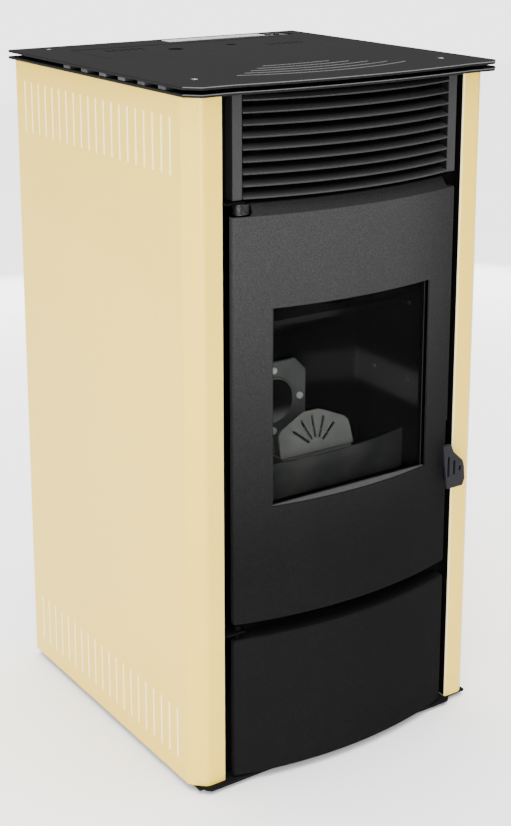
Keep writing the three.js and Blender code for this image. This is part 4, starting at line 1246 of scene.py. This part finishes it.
def louvres():
    """Nine bowed blades between the grille posts, each with an upright lip and a sloping sheet."""
    nodes = [f"louvre_blade_{i + 1}" for i in range(LOUVRE_COUNT)]
    low, high = box(nodes[0])
    curve = bow(high.x, DOOR_END_Y - 0.5 * MM, low.y)
    depth, lip, sheet = 13 * MM, 1.6 * MM, 1.4 * MM
    top = high.z + 4.4 * MM
    rings = []
    for x in between(-high.x, high.x, 40):
        front = curve(x)
        section = [(front, low.z), (front, high.z), (front + depth, top), (high.y, top),
                   (high.y, top - sheet), (front + depth + 0.3 * MM, top - sheet),
                   (front + lip, high.z - lip), (front + lip, low.z)]
        rings.append([(x, y, z) for y, z in section])
    blades = new_piece("louvre_blades", skin_mesh("louvre_blades", rings), blade_paint)
    soften(blades, 0.35 * MM, 40)
    pitch = (box(nodes[-1])[0].z - low.z) / (LOUVRE_COUNT - 1)
    grow(blades, row_tree, blade_paint, Count=LOUVRE_COUNT, Step=(0, 0, pitch))
    return carry(smooth(blades, 25), ROOT, "black_paint", *nodes)


# ------------------------------------------------------------------ doors


def fold_inset(z, low, high, radius):
    """How far a rounded fold draws the sheet in at that height."""
    near = max(0.0, min(z - low, high - z))
    if near >= radius:
        return 0.0
    return radius - math.sqrt(radius ** 2 - (radius - near) ** 2)


def door_body(name, node, offset, slope, back_y):
    """A closed bowed body with rounded folds: a door's outside, or with an offset its inside."""
    low, high = box(node)
    curve = bow(high.x, DOOR_END_Y, low.y)
    bottom, top = low.z + offset, high.z - offset
    fold = DOOR_FOLD - offset
    reach = offset + DOOR_RETURN
    profile = [(reach, bottom), (offset, bottom), (offset, top), (reach, top)]
    radii = [fold, fold]
    if slope:
        lean = slope + 0.4 * offset
        profile[2:] = [
            (offset, DOOR_FACE_TOP - offset / 2), (lean, top), (lean + DOOR_RETURN, top)]
        radii = [fold, DOOR_SLOPE_FOLD, fold]
    rings = []
    for back, z in rounded(profile, radii, 5)[1:-1]:
        side = high.x - offset - fold_inset(z, bottom, top, fold)
        edge = curve(side) + back
        columns = bow_line(curve, -DOOR_BOW_X, DOOR_BOW_X, 48, back)
        plan = [(-side, back_y), (-side, edge), *columns, (side, edge), (side, back_y)]
        line = [*rounded(plan[:3], fold, 5), *columns[1:-1], *rounded(plan[-3:], fold, 5)]
        rings.append([(x, y, z) for x, y in line])
    return new_piece(name, skin_mesh(name, rings), stove_paint)


def door_shell(name, node, slope):
    """A folded sheet door, open at its back, with its hinge side mitred so that it can swing."""
    low, high = box(node)
    door = door_body(name, node, 0.0, slope, UNCUT_BACK_Y)
    z = (low.z - PAST, high.z + PAST)
    half = DOOR_HALF + PAST
    behind = block("behind", (-half, half), (DOOR_BACK_Y, UNCUT_BACK_Y + PAST), z)
    inside = door_body("inside", node, DOOR_SHEET, slope, UNCUT_BACK_Y + 2 * PAST)
    mitre = prism("swing_room", mm([(-195, -251), (-183, -239), (-195, -239)]), z)
    return cut_with(door, inside, behind, mitre)


def corner_notch(side):
    """Cutter for a door's top corner, with one side sloped."""
    inner = 160 if side < 0 else 171
    points = [
        (192, 845), (192, 824), (inner + 5, 824), (inner + 1, 828), (inner, 832), (inner, 845)]
    radii = [0.2 * MM, 3 * MM, 2 * MM, 1 * MM]
    outline = rounded(mm([(side * x, z) for x, z in points]), radii, 3)
    rings = [[(x, y, z) for x, z in outline] for y in (-300 * MM, -235 * MM)]
    return new_piece("notch", skin_mesh("notch", rings))


def hinge_block(name, body, *z):
    """Drilled block that carries a door on its pin, between two heights in millimetres."""
    corners = [(-6.3, -4.5), (8.5, -6.5), (8.5, 6.5), (-6.3, 6.5)]
    corners = [(HINGE.x + x, HINGE.y + y) for x, y in mm(corners)]
    loops = [rounded(corners, 1 * MM, 3, closed=True), circle(HINGE.x, HINGE.y, PIN_BORE, 24)]
    sheet = level_sheet(name, loops, [height * MM for height in z], 0.4 * MM, stove_paint)
    return carry(sheet, body, "black_paint")


def window_shelf(name, bottom):
    """The lens-shaped ledge between the bowed skin and the flat glass."""
    curve = bow(DOOR_HALF, DOOR_END_Y, box("door_skin")[0].y)
    back_y = box("door_glass")[0].y - 0.3 * MM
    outline = bow_line(curve, -WINDOW_X, WINDOW_X, 36, DOOR_SHEET - 0.4 * MM)
    outline += [(WINDOW_X, back_y), (-WINDOW_X, back_y)]
    ledge = level_sheet(name, [outline], (bottom, bottom + DOOR_SHEET), 0.3 * MM, ledge_paint)
    return carry(ledge, "main_door", "black_paint")


def glass_trim():
    """Thin upright strips that hold the glass's paper seal, one along each side of the window."""
    middle, half = WINDOW_X - 4.6 * MM, 0.45 * MM
    strips = [rectangle((x - half, x + half), WINDOW_Z, 0.4 * MM) for x in (-middle, middle)]
    trim = front_sheet("glass_trim", strips, 0.4 * MM, 0.1 * MM, seal_strip_paint,
                       box("door_glass")[0].y - 0.35 * MM)
    return carry(trim, "main_door", "black_paint")


def main_door():
    """Bowed door sheet with its window, notches and bores, and the pieces fixed to it."""
    door = door_shell("door_skin_finished", "door_skin", DOOR_SLOPE_BACK)
    cut_with(
        door, corner_notch(-1), corner_notch(1),
        block("window", (-WINDOW_X, WINDOW_X), (-300 * MM, -250 * MM), WINDOW_Z),
        block("finger_notch", *mm([(185, 195), (-262, -246), (376, 470)])),
        block("hook_path", *mm([(185, 195), (-262, -238), (384, 413)])),
        block("lever_swing", *mm([(181, 195), (-262, -251), (392, 404)])),
        pin_bore("top_bore", 806, 850), pin_bore("low_bore", 240, 264))
    soften(door, 0.4 * MM, 50, 1)
    carry(door, "main_door", "black_paint", "door_skin")
    hinge_block("upper_hinge_block", "main_door", 800, 822)
    hinge_block("lower_hinge_block", "main_door", 248.5, 268)
    window_shelf("window_ledge", WINDOW_Z[0] - DOOR_SHEET)
    window_shelf("window_head", WINDOW_Z[1])
    glass_trim()
    latch_lugs()


def latch_lugs():
    """Two lugs that hold the handle's pin inside the door's edge."""
    curve = bow(DOOR_HALF, DOOR_END_Y, box("door_skin")[0].y)
    inner, outer = LATCH.x - 8 * MM, LATCH.x + 6 * MM
    outline = bow_line(curve, inner, outer, 6, DOOR_SHEET / 2)
    outline += [(outer, LUG_BACK_Y), (inner, LUG_BACK_Y)]
    for name, bottom in (("latch_lug_low", 379 * MM), ("latch_lug_high", 413 * MM)):
        lug = level_sheet(name, [outline], (bottom, bottom + 5 * MM), 0.4 * MM, stove_paint)
        carry(lug, "main_door", "black_paint")
    pin = lathe("latch_pin", mm([(3, 380), (3, 417)]), plain_steel, 24, centre=(*LATCH, 0))
    carry(pin, "main_door", "bare_steel")


def lower_door():
    """Plain bowed door, its hinge blocks and the plate that a magnet holds."""
    door = door_shell("lower_door_finished", "lower_door", 0.0)
    cut_with(door, pin_bore("top_bore", 205, 230), pin_bore("low_bore", 5, 30))
    soften(door, 0.4 * MM, 50, 1)
    carry(door, "lower_door", "black_paint", "lower_door")
    hinge_block("lower_door_hinge_high", "lower_door", 200, 218.5)
    hinge_block("lower_door_hinge_low", "lower_door", 14, 34)
    low, high = box("lower_door")
    curve = bow(high.x, DOOR_END_Y, low.y)
    inner, outer = 177 * MM, 185 * MM
    back_y = box("front_column_right")[0].y - 0.4 * MM
    outline = bow_line(curve, inner, outer, 4, DOOR_SHEET - 0.3 * MM)
    outline += [(outer, back_y), (inner, back_y)]
    keeper = level_sheet("magnet_keeper", [outline], (104 * MM, 136 * MM), 0.3 * MM, zinc_sheet)
    carry(keeper, "lower_door", "bare_steel")


def rope_gasket():
    """Twisted rope of three strands laid round the window side of the door."""
    low, high = box("door_gasket")
    reach, sides, twists, strands = 5.75 * MM, 18, 60, 3
    x, z = (low.x + reach, high.x - reach), (low.z + reach, high.z - reach)
    path = spaced(rectangle(x, z, 14 * MM, 12), 3 * MM)
    middle_y = (low.y + high.y) / 2
    rings = []
    for i, (x, z) in enumerate(path):
        ahead = Vector(path[(i + 1) % len(path)]) - Vector(path[i - 1])
        outward = Vector((ahead.y, -ahead.x)).normalized()
        turn = 2 * math.pi * twists * i / len(path)
        ring = []
        for k in range(sides):
            a = 2 * math.pi * k / sides
            r = (5.1 + 0.6 * math.cos(strands * (a + turn))) * MM
            ring.append((x + outward.x * r * math.cos(a), middle_y + r * math.sin(a),
                         z + outward.y * r * math.cos(a)))
        rings.append(ring)
    rope = new_piece("rope_gasket", skin_mesh("rope_gasket", rings, "looped"), mineral_rope)
    return carry(smooth(rope, 80), "main_door", "rope", "door_gasket")


def spaced(path, step):
    """A closed path with points at even distances."""
    points = [Vector(p) for p in path] + [Vector(path[0])]
    lengths = [0.0]
    for a, b in zip(points, points[1:]):
        lengths.append(lengths[-1] + (b - a).length)
    count = round(lengths[-1] / step)
    result = []
    k = 0
    for i in range(count):
        wanted = lengths[-1] * i / count
        while lengths[k + 1] < wanted:
            k += 1
        share = (wanted - lengths[k]) / max(lengths[k + 1] - lengths[k], 1e-9)
        result.append(tuple(points[k].lerp(points[k + 1], share)))
    return result


def door_handle():
    """Slotted handle plate on its bent lever, with the hub that turns on the latch pin, and a black sheet behind
    its slots as painted shade.
    """
    plate_corners = [
        (173, 371), (204, 371), (208, 381), (206, 402),
        (203, 411), (185, 428), (179, 441), (164, 441)]
    slots = [(175.5, 406, 32), (186.5, 403, 22), (197.5, 400, 8)]
    shade_sheet_corners = [(169, 384), (202, 384), (202, 411), (183, 425), (169, 425)]
    bends = [
        (175.5, -252), (191.5, -252), (191.5, -273), (197.5, -273),
        (197.5, -243.5), (184.5, -243.5), (184.5, -219), (176.2, -219),
        (176.2, -224), (179.5, -224), (179.5, -242), (175.5, -242)]
    thickness = 4 * MM
    front = box("door_handle")[0].y
    loops = [plate_shape(plate_corners, 2.5 * MM, 4)]
    loops += [stadium(x, z, 3.6 * MM, length) for x, z, length in mm(slots)]
    plate = front_sheet("handle_plate", loops, thickness, 0.8 * MM, handle_paint,
                        front + thickness / 2)
    lever = level_sheet("lever", [plate_shape(bends, 0.8 * MM, 2)], (395 * MM, 401 * MM),
                        0.5 * MM, handle_paint)
    hub = level_sheet("hub", [circle(*LATCH, 5.5 * MM), circle(*LATCH, PIN_BORE)],
                      (386 * MM, 411 * MM), 0.5 * MM, handle_paint)
    # Painted shade: a near-black sheet behind the slots makes them look dark.
    shade_sheet = front_sheet("slot_blind", [plate_shape(shade_sheet_corners, 2 * MM, 3)], 1 * MM, 0.2 * MM,
                        shade_black, front + thickness + 0.4 * MM)
    carry(shade_sheet, "door_handle", "black_paint")
    handle = joined("handle_finished", [plate, lever, hub])
    return carry(handle, "door_handle", "black_paint", "door_handle")


# ------------------------------------------------------------------ firebox


def pellet_chute():
    """Octagonal flange, its rolled rim and the curved tube that drops pellets into the pot."""
    front = box("pellet_chute")[0].y
    corners = [
        (-40, -60), (40, -60), (60, -40), (60, 40), (40, 60), (-40, 60), (-60, 40), (-60, -40)]
    outline = rounded([(x, z + CHUTE_Z) for x, z in mm(corners)], 1.5 * MM, 3, closed=True)
    flange = front_sheet("flange", [outline, circle(0, CHUTE_Z, 34.2 * MM, 64)], 5.2 * MM, 0.5 * MM,
                         flange_steel, front + 3.1 * MM)
    rim = [(0.6, 33.6), (-1.6, 33.4), (-2.8, 34.4), (-2.8, 36.2), (-1.6, 37.4), (0.6, 37.4)]
    hoop("chute_rim", 0, CHUTE_Z, [(front + y, radius) for y, radius in mm(rim)], flange_steel)
    route = [Vector(point) for point in CHUTE_BEND]
    path = [bezier(route, t) * MM for t in between(0, 1, 24)]
    mouth = [path[0], path[0] + Vector((0, -2.2 * MM, 0))]
    lips = [yz_rings(mouth, radius)[1] for radius in (CHUTE_OUTER, CHUTE_BORE + 0.6 * MM)]
    rings = [*yz_rings(path, CHUTE_OUTER)[::-1], *lips, *yz_rings(path, CHUTE_BORE)]
    tube = new_piece("chute_tube", skin_mesh("tube", rings, "looped"), chute_bore)
    carry(smooth(tube, 40), ROOT, "dark_steel")
    return carry(flange, ROOT, "dark_steel", "pellet_chute")


def bezier(route, t):
    """A point on the curve of four control points."""
    a, b, c, d = route
    s = 1 - t
    return a * s ** 3 + b * (3 * s * s * t) + c * (3 * s * t * t) + d * t ** 3


def yz_rings(path, radius):
    """Rings round a path that stays in a plane of constant X."""
    across = Vector((1, 0, 0))
    spokes = circle(0, 0, radius, 56)
    rings = []
    for i, point in enumerate(path):
        ahead = (path[min(i + 1, len(path) - 1)] - path[max(i - 1, 0)]).normalized()
        up = Vector((0, -ahead.z, ahead.y))
        rings.append([point + across * x + up * y for x, y in spokes])
    return rings


def flame_plate():
    """Fan-shaped cast plate with five slots, leaning back over the pot."""
    corners = [(-65, 0), (65, 0), (63, 34), (57, 41), (14, 60), (-14, 60), (-57, 41), (-63, 34)]
    loops = [plate_shape(corners, 1 * MM, 4)]
    hub = Vector((0, 4.5 * MM))
    for k in range(-2, 3):
        spoke = Matrix.Rotation(-math.radians(25) * k, 2)
        slot = stadium(0, 32 * MM, 4 * MM, 33 * MM)
        loops.append([tuple(spoke @ Vector(p) + hub) for p in slot])
    thickness, lean = 4 * MM, 0.3
    foot = Matrix.Translation((0, -184.8 * MM, box("flame_plate")[0].z))
    tilt = Matrix.Rotation(math.pi / 2 - lean, 4, "X")
    place = foot @ tilt @ Matrix.Translation((0, 0, thickness / 2))
    plate = cut_sheet("flame_plate_finished", loops, thickness, 0.7 * MM, cast_grate, place)
    return carry(plate, "burn_pot", "cast_grate", "flame_plate")


def firebox_fasteners():
    """The flange's bright bolts and the rivets of the side walls."""
    bolt_circle = 48 * MM
    face = CHUTE_FACE_Y + 0.5 * MM
    angles = [math.radians(turn) for turn in (0, 90, 180, 270)]
    bolts = [(bolt_circle * math.sin(a), face, CHUTE_Z + bolt_circle * math.cos(a)) for a in angles]
    fasten("chute_bolts", bolts, FACING_FRONT, BOLT_HEAD, bolt_zinc, 24)
    rows = mm([(y, z) for y in (-110, -190) for z in (520, 640)])
    for name, x, facing in (("liner_rivets_right", LINER_X, FACING_LEFT),
                            ("liner_rivets_left", -LINER_X, FACING_RIGHT)):
        fasten(name, [(x, y, z) for y, z in rows], facing, RIVET_HEAD, furnace_steel, 16)


# ------------------------------------------------------------------ outside fasteners and pipes


def casing_fasteners():
    """Screws of the top plate and of the back panel."""
    seat = box("upper_top_plate")[0].z
    places = [(x, y, seat) for x, y in TOP_SCREWS]
    fasten("top_screws", places, FACING_UP, SUNK_HEAD, plain_steel, 24)
    back = box("back_panel")[1].y
    places = [(x, z) for x in (-226, 226) for z in (30, 180, 330, 480, 630, 780, 960)]
    places += [(x, z) for x in (-110, 0, 110) for z in (26, 968)]
    places = [(x, back, z) for x, z in mm(places)]
    fasten("back_screws", places, FACING_BACK, PAN_HEAD, plain_steel, 20)


def flue_pipe():
    """Enamelled outlet pipe with a rolled bead and a swaged end."""
    low, high = box("flue_pipe")
    radius = (high.x - low.x) / 2
    bead, wall = high.y - 14 * MM, 1.2 * MM
    bead_shape = mm([(-4, 1), (-2, 0.2), (0, 0), (2, 0.2), (4, 1)])
    outer = [(bead + y, radius - drop) for y, drop in bead_shape]
    outer = [(low.y, radius), *outer, (high.y, radius - wall)]
    inner = [(y, r - wall) for y, r in reversed(outer)]
    return hoop("flue_pipe_finished", (low.x + high.x) / 2, (low.z + high.z) / 2, outer + inner,
                dark_coating, "flue_pipe")


def hinge_sleeves():
    """Knuckle on the upper hinge pin and sleeve on the lower, seen beside the main door."""
    half = 8.2 * MM
    x, z = mm([(-184.5, -161.6), (825.95, 841.25)])
    outline = rectangle(x, (HINGE.y - half, HINGE.y + half), half - 0.1 * MM, 10)
    knuckle = level_sheet("hinge_knuckle", [outline], z, 1.4 * MM, worn_steel)
    carry(knuckle, ROOT, "bare_steel")
    profile = mm([(4.4, 235.2), (5.2, 236), (5.2, 242.2), (4.4, 243)])
    sleeve = lathe("hinge_sleeve_low", profile, shade_black, 28, centre=(*HINGE, 0))
    carry(sleeve, ROOT, "bare_steel")


# ------------------------------------------------------------------ nodes that keep their shape

# Frame nodes that show, each with its finish, its body and the radius on its edges in millimetres.
COPIED = {
    "base_plate": (stove_paint, ROOT, 0.5),
    "foot_rail_left": (rail_rubber, ROOT, 0.8),
    "foot_rail_right": (rail_rubber, ROOT, 0.8),
    "back_panel": (zinc_sheet, ROOT, 0.3),
    "grille_post_left": (post_paint, ROOT, 0.9),
    "grille_post_right": (post_paint, ROOT, 0.9),
    "air_outlet_frame": (shade_black, ROOT, 0.3),
    "front_column_left": (shade_black, ROOT, 0.5),
    "front_column_right": (shade_black, ROOT, 0.5),
    "front_frame_plate": (shade_black, ROOT, 0.5),
    "control_panel": (black_plastic, ROOT, 0.6),
    "display_strip": (display_cover, ROOT, 0.4),
    "push_button_1": (black_plastic, "button_1", 0.5),
    "push_button_2": (black_plastic, "button_2", 0.5),
    "plate_spacer_left": (furnace_steel, ROOT, 0.5),
    "plate_spacer_right": (furnace_steel, ROOT, 0.5),
    "front_apron": (furnace_steel, ROOT, 0.6),
    "burn_pot": (cast_grate, "burn_pot", 1.0),
    "door_frame": (ashen_frame, "main_door", 0.5),
    "ash_drawer": (zinc_sheet, "ash_drawer", 0.6),
    "mains_inlet": (black_plastic, ROOT, 0.6),
    "power_switch": (black_plastic, "power_switch", 0.5),
}

# Frame nodes hidden inside, or whose shape is already right: only their finish changes.
REFINISHED = {
    "door_glass": window_glass, "firebox": sooty_liner, "flame_baffle": sooty_liner,
    "combustion_air_duct": zinc_sheet, "igniter": plain_steel, "drawer_shelf": zinc_sheet,
    "smoke_duct": dark_coating, "flue_fan_housing": zinc_sheet, "flue_fan_impeller": plain_steel,
    "flue_fan_motor": plain_steel, "hopper": zinc_sheet, "auger_tube": zinc_sheet,
    "auger": plain_steel, "auger_motor": black_plastic, "blower_housing": zinc_sheet,
    "blower_rotor": zinc_sheet, "control_board": circuit_laminate,
}


def copied_nodes():
    """Rounded copies that stand for the nodes that show."""
    slots = {entry["node"]: entry["material_slot"] for entry in frame["record"]["subparts"]}
    for node, (make, body, edge) in COPIED.items():
        carry(frame_copy(node, make, edge * MM), body, slots[node], node)


def refinished_nodes():
    """Finishes of the nodes that stay."""
    for node, make in REFINISHED.items():
        dress(frame["nodes"][node], make)


# ------------------------------------------------------------------ stage

SENSOR = 36                       # millimetres
FLOOR_REACH = 6.0
MID_HEIGHT = (0.0, 0.0, 0.5)

# Each light's name, place, aim, size and the setting that holds its power.
LIGHTS = (
    ("front", (-2.0, -2.55, 1.1), (0.0, -0.2, 0.5), (1.2, 2.0), "front_power"),
    ("left", (-2.6, 0.3, 0.5), MID_HEIGHT, (1.6, 0.8), "side_power"),
    ("right", (2.3, 1.6, 0.5), MID_HEIGHT, (1.6, 0.8), "side_power"),
    ("back", (0.3, 2.6, 0.5), MID_HEIGHT, (1.6, 0.8), "side_power"),
)


def aimed(thing, place, direction):
    """Puts a light or camera at a place, looking that way."""
    thing.location = place
    thing.rotation_mode = "QUATERNION"
    thing.rotation_quaternion = direction.to_track_quat("-Z", "Y")


def studio_light(name, place, aim, size, power):
    """A soft rectangular light."""
    lamp = bpy.data.lights.new(name, "AREA")
    lamp.shape = "RECTANGLE"
    lamp.size, lamp.size_y = size
    lamp.energy = power
    light = bpy.data.objects.new(name, lamp)
    bpy.context.scene.collection.objects.link(light)
    aimed(light, place, Vector(aim) - Vector(place))
    light.visible_camera = False


def studio_world(studio):
    """An empty white studio that is bright to look at but gives little light of its own."""
    world = bpy.data.worlds.new("studio")
    bpy.context.scene.world = world
    world.use_nodes = True
    graph = Graph(world.node_tree)
    background = world.node_tree.nodes["Background"]
    background.inputs["Color"].default_value = opaque(grey(1))
    seen = graph.node("ShaderNodeLightPath", output="Is Camera Ray")
    direction = graph.node("ShaderNodeTexCoord", output="Generated")
    height = graph.math("MAXIMUM", graph.node("ShaderNodeSeparateXYZ", {0: direction}, 2), 0.0)
    light = studio.ambient + studio.overhead * height ** 4
    graph.feed(background.inputs["Strength"], light * (1.0 - seen) + seen * studio.backdrop)


def studio_camera(studio):
    """The camera at the photograph's viewing angle."""
    lens = bpy.data.cameras.new("camera")
    lens.lens = studio.lens
    lens.sensor_width = SENSOR
    lens.shift_y = studio.shift
    lens.dof.use_dof = False
    camera = bpy.data.objects.new("camera", lens)
    bpy.context.scene.collection.objects.link(camera)
    turn, rise = studio.azimuth, studio.elevation
    back = Vector((
        math.sin(turn) * math.cos(rise), -math.cos(turn) * math.cos(rise), math.sin(rise)))
    aimed(camera, Vector(studio.aim) + back * studio.distance, -back)
    bpy.context.scene.camera = camera


def studio_floor_sheet():
    """The floor, which is no part of the stove."""
    mesh = bpy.data.meshes.new("studio_floor")
    with editing(mesh) as shape:
        bmesh.ops.create_grid(shape, x_segments=4, y_segments=4, size=FLOOR_REACH)
    new_piece("studio_floor", mesh, studio_floor)


# ------------------------------------------------------------------ operators and panel


class STOVE_OT_side_panels(bpy.types.Operator):
    """Folded cream side panels with their rows of slots"""
    bl_idname = "stove.side_panels"
    bl_label = "Side panels"
    bl_options = {"REGISTER", "UNDO"}

    def execute(self, context):
        for side in (-1, 1):
            side_panel(side, context.scene.stove_sizes)
            slot_backing(side)
            panel_seal(side)
        return {"FINISHED"}


class STOVE_OT_top(bpy.types.Operator):
    """Two top plates and the hopper lid"""
    bl_idname = "stove.top"
    bl_label = "Top plates and lid"
    bl_options = {"REGISTER", "UNDO"}

    def execute(self, context):
        sizes = context.scene.stove_sizes
        upper_plate(sizes)
        lid_rod()
        top_plate("lower", [footprint("hopper", 0.8 * MM, 3 * MM)], sizes)
        hopper_lid(sizes)
        return {"FINISHED"}


class STOVE_OT_louvres(bpy.types.Operator):
    """Bowed louvre blades of the warm-air grille"""
    bl_idname = "stove.louvres"
    bl_label = "Louvres"
    bl_options = {"REGISTER", "UNDO"}

    def execute(self, context):
        louvres()
        outlet_bars()
        air_deflector()
        return {"FINISHED"}


class STOVE_OT_main_door(bpy.types.Operator):
    """Bowed window door with its ledge, lugs and rope gasket"""
    bl_idname = "stove.main_door"
    bl_label = "Main door"
    bl_options = {"REGISTER", "UNDO"}

    def execute(self, context):
        main_door()
        rope_gasket()
        return {"FINISHED"}


class STOVE_OT_lower_door(bpy.types.Operator):
    """Bowed door in front of the ash drawer"""
    bl_idname = "stove.lower_door"
    bl_label = "Lower door"
    bl_options = {"REGISTER", "UNDO"}

    def execute(self, context):
        lower_door()
        return {"FINISHED"}


class STOVE_OT_handle(bpy.types.Operator):
    """Slotted door handle"""
    bl_idname = "stove.handle"
    bl_label = "Door handle"
    bl_options = {"REGISTER", "UNDO"}

    def execute(self, context):
        door_handle()
        return {"FINISHED"}


class STOVE_OT_firebox(bpy.types.Operator):
    """Pellet chute, flame plate, bolts and rivets in the firebox"""
    bl_idname = "stove.firebox"
    bl_label = "Firebox fittings"
    bl_options = {"REGISTER", "UNDO"}

    def execute(self, context):
        pellet_chute()
        flame_plate()
        firebox_fasteners()
        return {"FINISHED"}


class STOVE_OT_casing_fittings(bpy.types.Operator):
    """Screws, hinge sleeves and the flue outlet"""
    bl_idname = "stove.casing_fittings"
    bl_label = "Casing fittings"
    bl_options = {"REGISTER", "UNDO"}

    def execute(self, context):
        casing_fasteners()
        hinge_sleeves()
        flue_pipe()
        return {"FINISHED"}


class STOVE_OT_frame_nodes(bpy.types.Operator):
    """Rounded copies and finishes of the nodes that keep their shape"""
    bl_idname = "stove.frame_nodes"
    bl_label = "Plain nodes"
    bl_options = {"REGISTER", "UNDO"}

    def execute(self, context):
        copied_nodes()
        refinished_nodes()
        return {"FINISHED"}


class STOVE_OT_stage(bpy.types.Operator):
    """Camera, soft lights and pale floor"""
    bl_idname = "stove.stage"
    bl_label = "Stage"
    bl_options = {"REGISTER", "UNDO"}

    def execute(self, context):
        studio = context.scene.stove_studio
        studio_camera(studio)
        studio_world(studio)
        studio_floor_sheet()
        for *light, power in LIGHTS:
            studio_light(*light, getattr(studio, power))
        return {"FINISHED"}


class STOVE_PT_pieces(bpy.types.Panel):
    """Lists the stove's operators and settings"""
    bl_idname = "STOVE_PT_pieces"
    bl_label = "Pellet stove"
    bl_space_type = "VIEW_3D"
    bl_region_type = "UI"
    bl_category = "Stove"

    def draw(self, context):
        column = self.layout.column()
        for operator in OPERATORS:
            column.operator(operator.bl_idname)
        for group in GROUPS:
            settings = getattr(context.scene, group)
            for name in settings.bl_rna.properties.keys():
                if name not in ("rna_type", "name"):
                    column.prop(settings, name)


OPERATORS = (
    STOVE_OT_side_panels, STOVE_OT_top, STOVE_OT_louvres, STOVE_OT_main_door,
    STOVE_OT_lower_door, STOVE_OT_handle, STOVE_OT_firebox, STOVE_OT_casing_fittings,
    STOVE_OT_frame_nodes, STOVE_OT_stage,
)
GROUPS = {"stove_sizes": StoveSizes, "stove_colours": StoveColours, "stove_studio": StoveStudio}
CLASSES = (*GROUPS.values(), *OPERATORS, STOVE_PT_pieces)


def register():
    for item in CLASSES:
        bpy.utils.register_class(item)
    for name, group in GROUPS.items():
        setattr(bpy.types.Scene, name, bpy.props.PointerProperty(type=group))


def unregister():
    for name in GROUPS:
        delattr(bpy.types.Scene, name)
    for item in reversed(CLASSES):
        bpy.utils.unregister_class(item)


def main():
    register()
    for operator in OPERATORS:
        call = getattr(bpy.ops.stove, operator.bl_idname.split(".")[1])
        if call() != {"FINISHED"}:
            raise RuntimeError(operator.bl_label + " was not built")


if __name__ == "__main__":
    main()
